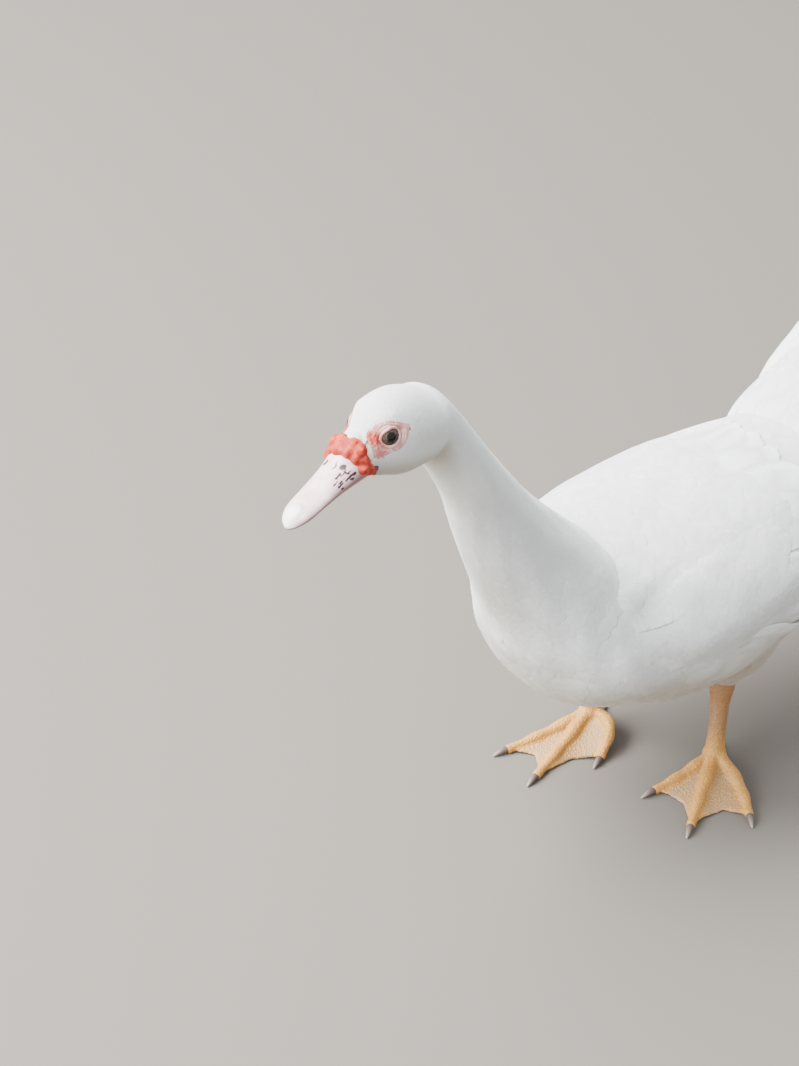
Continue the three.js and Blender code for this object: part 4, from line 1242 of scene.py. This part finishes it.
def makeMouthCorners():
    # painted shadow: a near-black piece in each corner of the mouth
    material, tree, shader = newMaterial("mouthCornerShadow", mouthCorner["color"], 0.5)
    bumpOf(tree, shader, noiseOf(tree, 900, 3), 0.4, 0.0004)
    for name, side in (("left", 1), ("right", -1)):
        unit = ballGrid((0, 0, 0), 1, 20, 28) * mouthCorner["reach"] + np.array(mouthCorner["at"])
        ball = inHead(side * unit[..., 0], unit[..., 1], unit[..., 2])
        makePiece(f"mouth_corner_{name}", ball, facedOut(ball, tubeFaces(20, 28)), material, "caruncles")


makeForehead()
makeMouthCorners()

# eyes, lids and bare face

headAxes = {
    "forward": (inHead(0, 1, 0) - inHead(0, 0, 0)) / headPose["scale"],
    "up": (inHead(0, 0, 1) - inHead(0, 0, 0)) / headPose["scale"],
}


def eyeMaterial():
    material, tree, shader = newMaterial("wetEye", (0.1, 0.07, 0.05), 0.06)
    shader.inputs["Coat Weight"].default_value = 0.15
    shader.inputs["Specular IOR Level"].default_value = 0.15
    shader.inputs["Coat Roughness"].default_value = 0.02
    ring = markOf(tree, "ring")
    grain = rampOf(tree, noiseOf(tree, 900, 3), 0.35, 0.65)
    fibre = mixColors(tree, grain, (0.03, 0.019, 0.014), (0.085, 0.056, 0.04))
    pupil = mixColors(tree, rampOf(tree, ring, 0.33, 0.42), (0.004, 0.004, 0.005), fibre)
    color = mixColors(tree, rampOf(tree, ring, 0.68, 0.78), pupil, (0.03, 0.02, 0.02))
    colorOf(tree, shader, color)
    return material


def lidMaterial():
    # pink bare skin, redder where the mark says so
    material, tree, shader = newMaterial("bareFaceSkin", (0.78, 0.56, 0.52), 0.55)
    shader.inputs["Subsurface Weight"].default_value = 0.15
    shader.inputs["Subsurface Scale"].default_value = 0.002
    pale = mixColors(tree, rampOf(tree, noiseOf(tree, 300, 3), 0.35, 0.7), (0.62, 0.37, 0.35), (0.5, 0.19, 0.17))
    color = mixColors(tree, markOf(tree, "red"), pale, (0.42, 0.045, 0.02))
    colorOf(tree, shader, color)
    bumpOf(tree, shader, noiseOf(tree, 800, 3), 0.6, 0.0005)
    return material


wetEye = eyeMaterial()
bareFaceSkin = lidMaterial()


def headSurface(forward, up, side):
    # the ring and side of the body table where the head has these forward and up, by repeated small steps
    ring = np.full(np.shape(forward), 15.6 * stepsPerRow)
    turn = np.full(np.shape(forward), (0.25 if side > 0 else 0.75) * bodySides)

    def offset(r, s):
        _, f, u = headPlace(lookUp(bodyTable, "point", r, s))
        return f, u

    for _ in range(14):
        f, u = offset(ring, turn)
        fr, ur = offset(ring + 1, turn)
        fs, us = offset(ring, turn + 1)
        a, b, c, d = fr - f, fs - f, ur - u, us - u
        det = a * d - b * c
        det = np.where(np.abs(det) < 1e-4, 1e-4, det)
        ring = np.clip(ring + np.clip(((forward - f) * d - (up - u) * b) / det, -8, 8), 250, 356)
        turn = turn + np.clip(((up - u) * a - (forward - f) * c) / det, -8, 8)
    return ring, turn


def makeFace(name, side):
    # the eye looks out square to the head's surface, and about a third of the ball stands proud of it
    ringAt, sideAt = headSurface(np.array([eye["forward"]]), np.array([eye["up"]]), side)
    outward = lookUp(bodyTable, "normal", ringAt, sideAt)[0]
    outward /= np.linalg.norm(outward)
    ahead = headAxes["forward"] - outward * (headAxes["forward"] @ outward)
    ahead /= np.linalg.norm(ahead)
    over = headAxes["up"] - outward * (headAxes["up"] @ outward) - ahead * (headAxes["up"] @ ahead)
    over /= np.linalg.norm(over)
    centre = lookUp(bodyTable, "point", ringAt, sideAt)[0] - outward * eye["sunk"]
    # eyeball: rings round its own axis, the cornea a little fuller, drawn in where the lids hide it
    polar = np.linspace(0.02, np.pi - 0.02, 60)[:, None]
    a = (2 * np.pi * np.arange(64) / 64)[None]
    radius = eye["radius"] * (1 + 0.05 * np.exp(-((polar / 0.5) ** 2)) - 0.3 * softStep((polar - 0.95) / 0.7))
    ball = centre + radius[..., None] * (
        np.cos(polar)[..., None] * outward + (np.sin(polar) * np.cos(a))[..., None] * ahead
        + (np.sin(polar) * np.sin(a))[..., None] * over)
    ring = np.broadcast_to(polar, ball.shape[:2])
    made = makePiece(f"eyeball_{name}", *closedTube(ball), wetEye, "eyes", marks={"ring": ring})
    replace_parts(made, f"eye_{name}")
    # lid rim: a tube that hugs the ball, longer than high and drawn out at the rear corner
    sides = 96
    turn = 2 * np.pi * np.arange(sides) / sides
    rear, upper = np.maximum(-np.cos(turn), 0), np.maximum(np.sin(turn), 0)
    opening = np.radians(42 + 6 * np.cos(turn) ** 2 + 5 * rear**3 - 9 * upper**2)
    reach = ahead * np.cos(turn)[:, None] + over * np.sin(turn)[:, None]
    unit = outward * np.cos(opening)[:, None] + reach * np.sin(opening)[:, None]
    across = reach * np.cos(opening)[:, None] - outward * np.sin(opening)[:, None]
    path = centre + unit * (eye["radius"] + 0.3)
    b = (2 * np.pi * np.arange(16) / 16)[None, :, None]
    tube = path[:, None] + 0.85 * np.cos(b) * across[:, None] + 0.7 * np.sin(b) * unit[:, None] + across[:, None] * 0.4
    red = np.broadcast_to(0.03 + 0.5 * np.maximum(np.cos(turn), 0)[:, None] ** 8, tube.shape[:2])
    faces = facedOut(tube, hoopFaces(sides, 16))
    makePiece(f"lid_rim_{name}", tube, faces, bareFaceSkin, "caruncles", marks={"red": red})
    # bare skin from the lid rim out to under the feathers, with fine folds round the eye
    q = np.linspace(0, 1, 36)[:, None]
    _, rimF, rimU = headPlace(path + across * 0.9)
    angle = np.arctan2(rimU - bareFace["middle"][1], rimF - bareFace["middle"][0])
    far = bareEdge(angle) * 1.08
    forward = rimF + (bareFace["middle"][0] + far * np.cos(angle) - rimF) * q
    up = rimU + (bareFace["middle"][1] + far * np.sin(angle) - rimU) * q
    r, s = headSurface(forward, up, side)
    folds = 0.22 * np.sin(q * 15 + 1.5 * np.sin(turn * 3)) * np.exp(-((q / 0.6) ** 2)) * np.sin(np.pi * q)
    warts = 0.3 * np.sin(forward * 2.6 + 1.3 * np.sin(up * 1.7)) * np.sin(up * 2.9 + np.sin(forward * 1.3))
    front = np.exp(-(((forward - 16.5) / 4.5) ** 2) - (((up - 1) / 6) ** 2))
    warts = warts * (0.3 + 1.2 * front) * np.sin(np.pi * q) ** 0.5
    lift = 0.1 + folds + warts - 1.6 * np.clip((q - 0.86) / 0.14, 0, 1)
    skinAt = lookUp(bodyTable, "point", r, s)
    top = skinAt + lookUp(bodyTable, "normal", r, s) * lift[..., None]
    blend = softStep(1 - q / 0.42)[..., None]
    rimStart = (path + across * 0.95)[None]
    nearRim = rimStart + (skinAt - skinAt[:1]) * 0.8 + outward * 0.5 * np.sin(np.pi * q)[..., None]
    top = top * (1 - blend) + nearRim * blend
    under = top - outward * 2.2
    shell = np.concatenate([top, under[::-1]], 0)
    red = np.exp(-(((forward - 16) / 3.2) ** 4) - (((up - 3) / 3.6) ** 4))
    red = np.maximum(red, 0.45 * np.exp(-(((forward - 16) / 3.4) ** 4) - (((up + 4.6) / 3) ** 4)))
    red = np.concatenate([red, red[::-1]], 0)
    faces = facedOut(shell, hoopFaces(len(shell), sides))
    makePiece(f"bare_face_{name}", shell, faces, bareFaceSkin, "caruncles", marks={"red": red})


makeFace("left", 1)
makeFace("right", -1)
print("head dressed")

# legs and feet

clawLength, webThick, toeThick, hindThick = 9, 1.5, 4, 3.2


def toeRows(joint, toe, thick, count=28):
    # from the joint down to the floor and out to the claw; three pads with knuckles between them
    joint, tip = np.array(joint, float), np.array(toe["tip"], float)
    bow = np.array(toe.get("bow", (0, 0)), float)
    whole = np.linalg.norm(tip - joint[:2])
    span, way = whole - clawLength, (tip - joint[:2]) / whole
    t = np.linspace(0, 1, count)
    radius = thick * (1 - 0.4 * t) * (1 + 0.1 * np.cos(6 * np.pi * t))
    high = (joint[2] - 1) * (1 - t) ** 2.6 + 0.7 * thick * (1 - 0.3 * t) + toe["arch"] * np.sin(np.pi * t)
    bend = np.sin(np.pi * t**0.8)
    xy = joint[:2] + way * span * t[:, None] + bow * bend[:, None]
    return np.column_stack([xy, high, radius])


def webGrid(joint, first, second):
    # skin between two toes, hollowed at its front edge and sunk towards the floor
    a, b = toeRows(joint, first, 4), toeRows(joint, second, 4)
    t = np.linspace(0.06, 0.99, 24)
    p, q = (splineRows(rows, t * (len(rows) - 1))[:, None, :] for rows in (a, b))
    t = t[:, None]
    s = np.linspace(0, 1, 24)[None]
    sag = 1 - 0.2 * t * t * np.sin(np.pi * s)
    x = joint[0] + (p[..., 0] + (q[..., 0] - p[..., 0]) * s - joint[0]) * sag
    y = joint[1] + (p[..., 1] + (q[..., 1] - p[..., 1]) * s - joint[1]) * sag
    height = np.maximum(p[..., 2], q[..., 2]) * 0.5
    z = np.maximum(p[..., 2] + (q[..., 2] - p[..., 2]) * s - height * np.sin(np.pi * s) * t, webThick * 0.7)
    top = np.stack([x, y, z + webThick / 2], -1)
    low = np.stack([x, y, z - webThick / 2], -1)
    return np.concatenate([top, low[:, ::-1]], 1)


def footMaterial():
    # yellow orange scaly skin: small scales all over, webs paler, joints and shank browner
    material, tree, shader = newMaterial("footSkin", (0.72, 0.42, 0.14), 0.5)
    shader.inputs["Subsurface Weight"].default_value = 0.08
    shader.inputs["Subsurface Scale"].default_value = 0.002
    scales = tree.nodes.new("ShaderNodeTexVoronoi")
    scales.inputs["Scale"].default_value = 700
    tree.links.new(objectPlace(tree), scales.inputs["Vector"])
    patchy = rampOf(tree, noiseOf(tree, 70, 4), 0.38, 0.66)
    web = mixColors(tree, patchy, (0.44, 0.25, 0.1), (0.38, 0.25, 0.13))
    color = mixColors(tree, markOf(tree, "toe"), web, (0.56, 0.27, 0.045))
    shank = rampOf(tree, heightOf(tree), 0.012, 0.03)
    color = mixColors(tree, shank, color, (0.34, 0.17, 0.065))
    seam = rampOf(tree, scales.outputs["Distance"], 0.3, 0.62, 0.0, 0.35)
    color = mixColors(tree, seam, color, (0.2, 0.095, 0.035))
    colorOf(tree, shader, color)
    bumpOf(tree, shader, rampOf(tree, scales.outputs["Distance"], 0.1, 0.6, 1.0, 0.0), 0.6, 0.0005)
    return material


def clawMaterial():
    material, tree, shader = newMaterial("clawHorn", (0.2, 0.16, 0.14), 0.5)
    shader.inputs["Specular IOR Level"].default_value = 0.25
    tip = mixColors(tree, markOf(tree, "tip"), (0.1, 0.076, 0.062), (0.32, 0.27, 0.23))
    colorOf(tree, shader, tip)
    bumpOf(tree, shader, noiseOf(tree, 900, 2), 0.2, 0.0002)
    return material


footSkin = footMaterial()
clawHorn = clawMaterial()


def makeLeg(name):
    leg = legs[name]
    heel, joint = np.array(leg["heel"], float), np.array(leg["joint"], float)
    shankRows = [(-0.16, 5), (-0.06, 7.4), (0.06, 7.2), (0.25, 5.6), (0.6, 5), (0.88, 5.6), (1.04, 6.4)]
    rows = [(*(heel + (joint - heel) * t), r) for t, r in shankRows]
    shank = limbGrid(rows, 90, 40)
    hindBase = joint + (0, 3, 4)
    toes = [limbGrid(toeRows(joint, toe, toeThick), 60, 24) for toe in leg["toes"].values()]
    hindToe = limbGrid(toeRows(hindBase, leg["hind"], hindThick), 40, 20)
    inner, middle, outer = leg["toes"].values()
    webs = [webGrid(joint, inner, middle), webGrid(joint, middle, outer)]
    ankle = ballGrid(joint, 7, 24, 32)
    points, faces = joinGrids([shank, ankle, *toes, hindToe, *webs])
    points[:, 2] = np.maximum(points[:, 2], 0.05)
    piece = makePiece(f"leg_and_foot_{name}", points, faces, footSkin, "feet")
    meltTogether(piece, 0.75, 2)
    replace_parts(piece, f"leg_{name}", f"foot_{name}")
    # mark 1 along the toes, 0 on the webs between them
    mesh = piece.data
    place = np.empty(len(mesh.vertices) * 3, np.float32)
    mesh.vertices.foreach_get("co", place)
    paths = toFrame(np.concatenate([toeRows(joint, toe, toeThick)[:, :3] for toe in leg["toes"].values()]))
    gap = np.linalg.norm(place.reshape(-1, 3)[:, None, :2] - paths[None, :, :2], axis=2).min(axis=1)
    mark = mesh.attributes.new("toe", "FLOAT", "POINT")
    mark.data.foreach_set("value", softStep((0.0062 - gap) / 0.0035).astype(np.float32))
    for toeName, toe in {**leg["toes"], "hind": leg["hind"]}.items():
        base, thick = (hindBase, hindThick) if toeName == "hind" else (joint, toeThick)
        path = toeRows(base, toe, thick)
        end = path[-1]
        way = end[:2] - path[-3][:2]
        way /= np.linalg.norm(way)
        low = end[2] - 0.9
        claw = [  # how far out, how far down, share of the toe's radius
            (-1.0, 0, 0.76), (clawLength * 0.35, -0.5, 0.68), (clawLength * 0.7, low * 0.35, 0.44),
            (clawLength, low, 0.14),
        ]
        rows = [(*(end[:2] + way * far), end[2] - drop, end[3] * share) for far, drop, share in claw]
        grid = limbGrid(rows, 24, 16)
        grid[..., 2] = np.maximum(grid[..., 2], 0.05)
        tip = np.broadcast_to(np.linspace(0, 1, 24)[:, None] ** 2, grid.shape[:2])
        made = makePiece(f"claw_horn_{name}_{toeName}", *closedTube(grid), clawHorn, "claws", marks={"tip": tip})
        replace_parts(made, f"claw_{name}_{toeName}")


makeLeg("left")
makeLeg("right")
print("legs and feet made")

newBox = [list(corner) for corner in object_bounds()]
for low, high, label in zip(newBox[0], newBox[1], "xyz"):
    print(label, round(low, 4), round(high, 4))
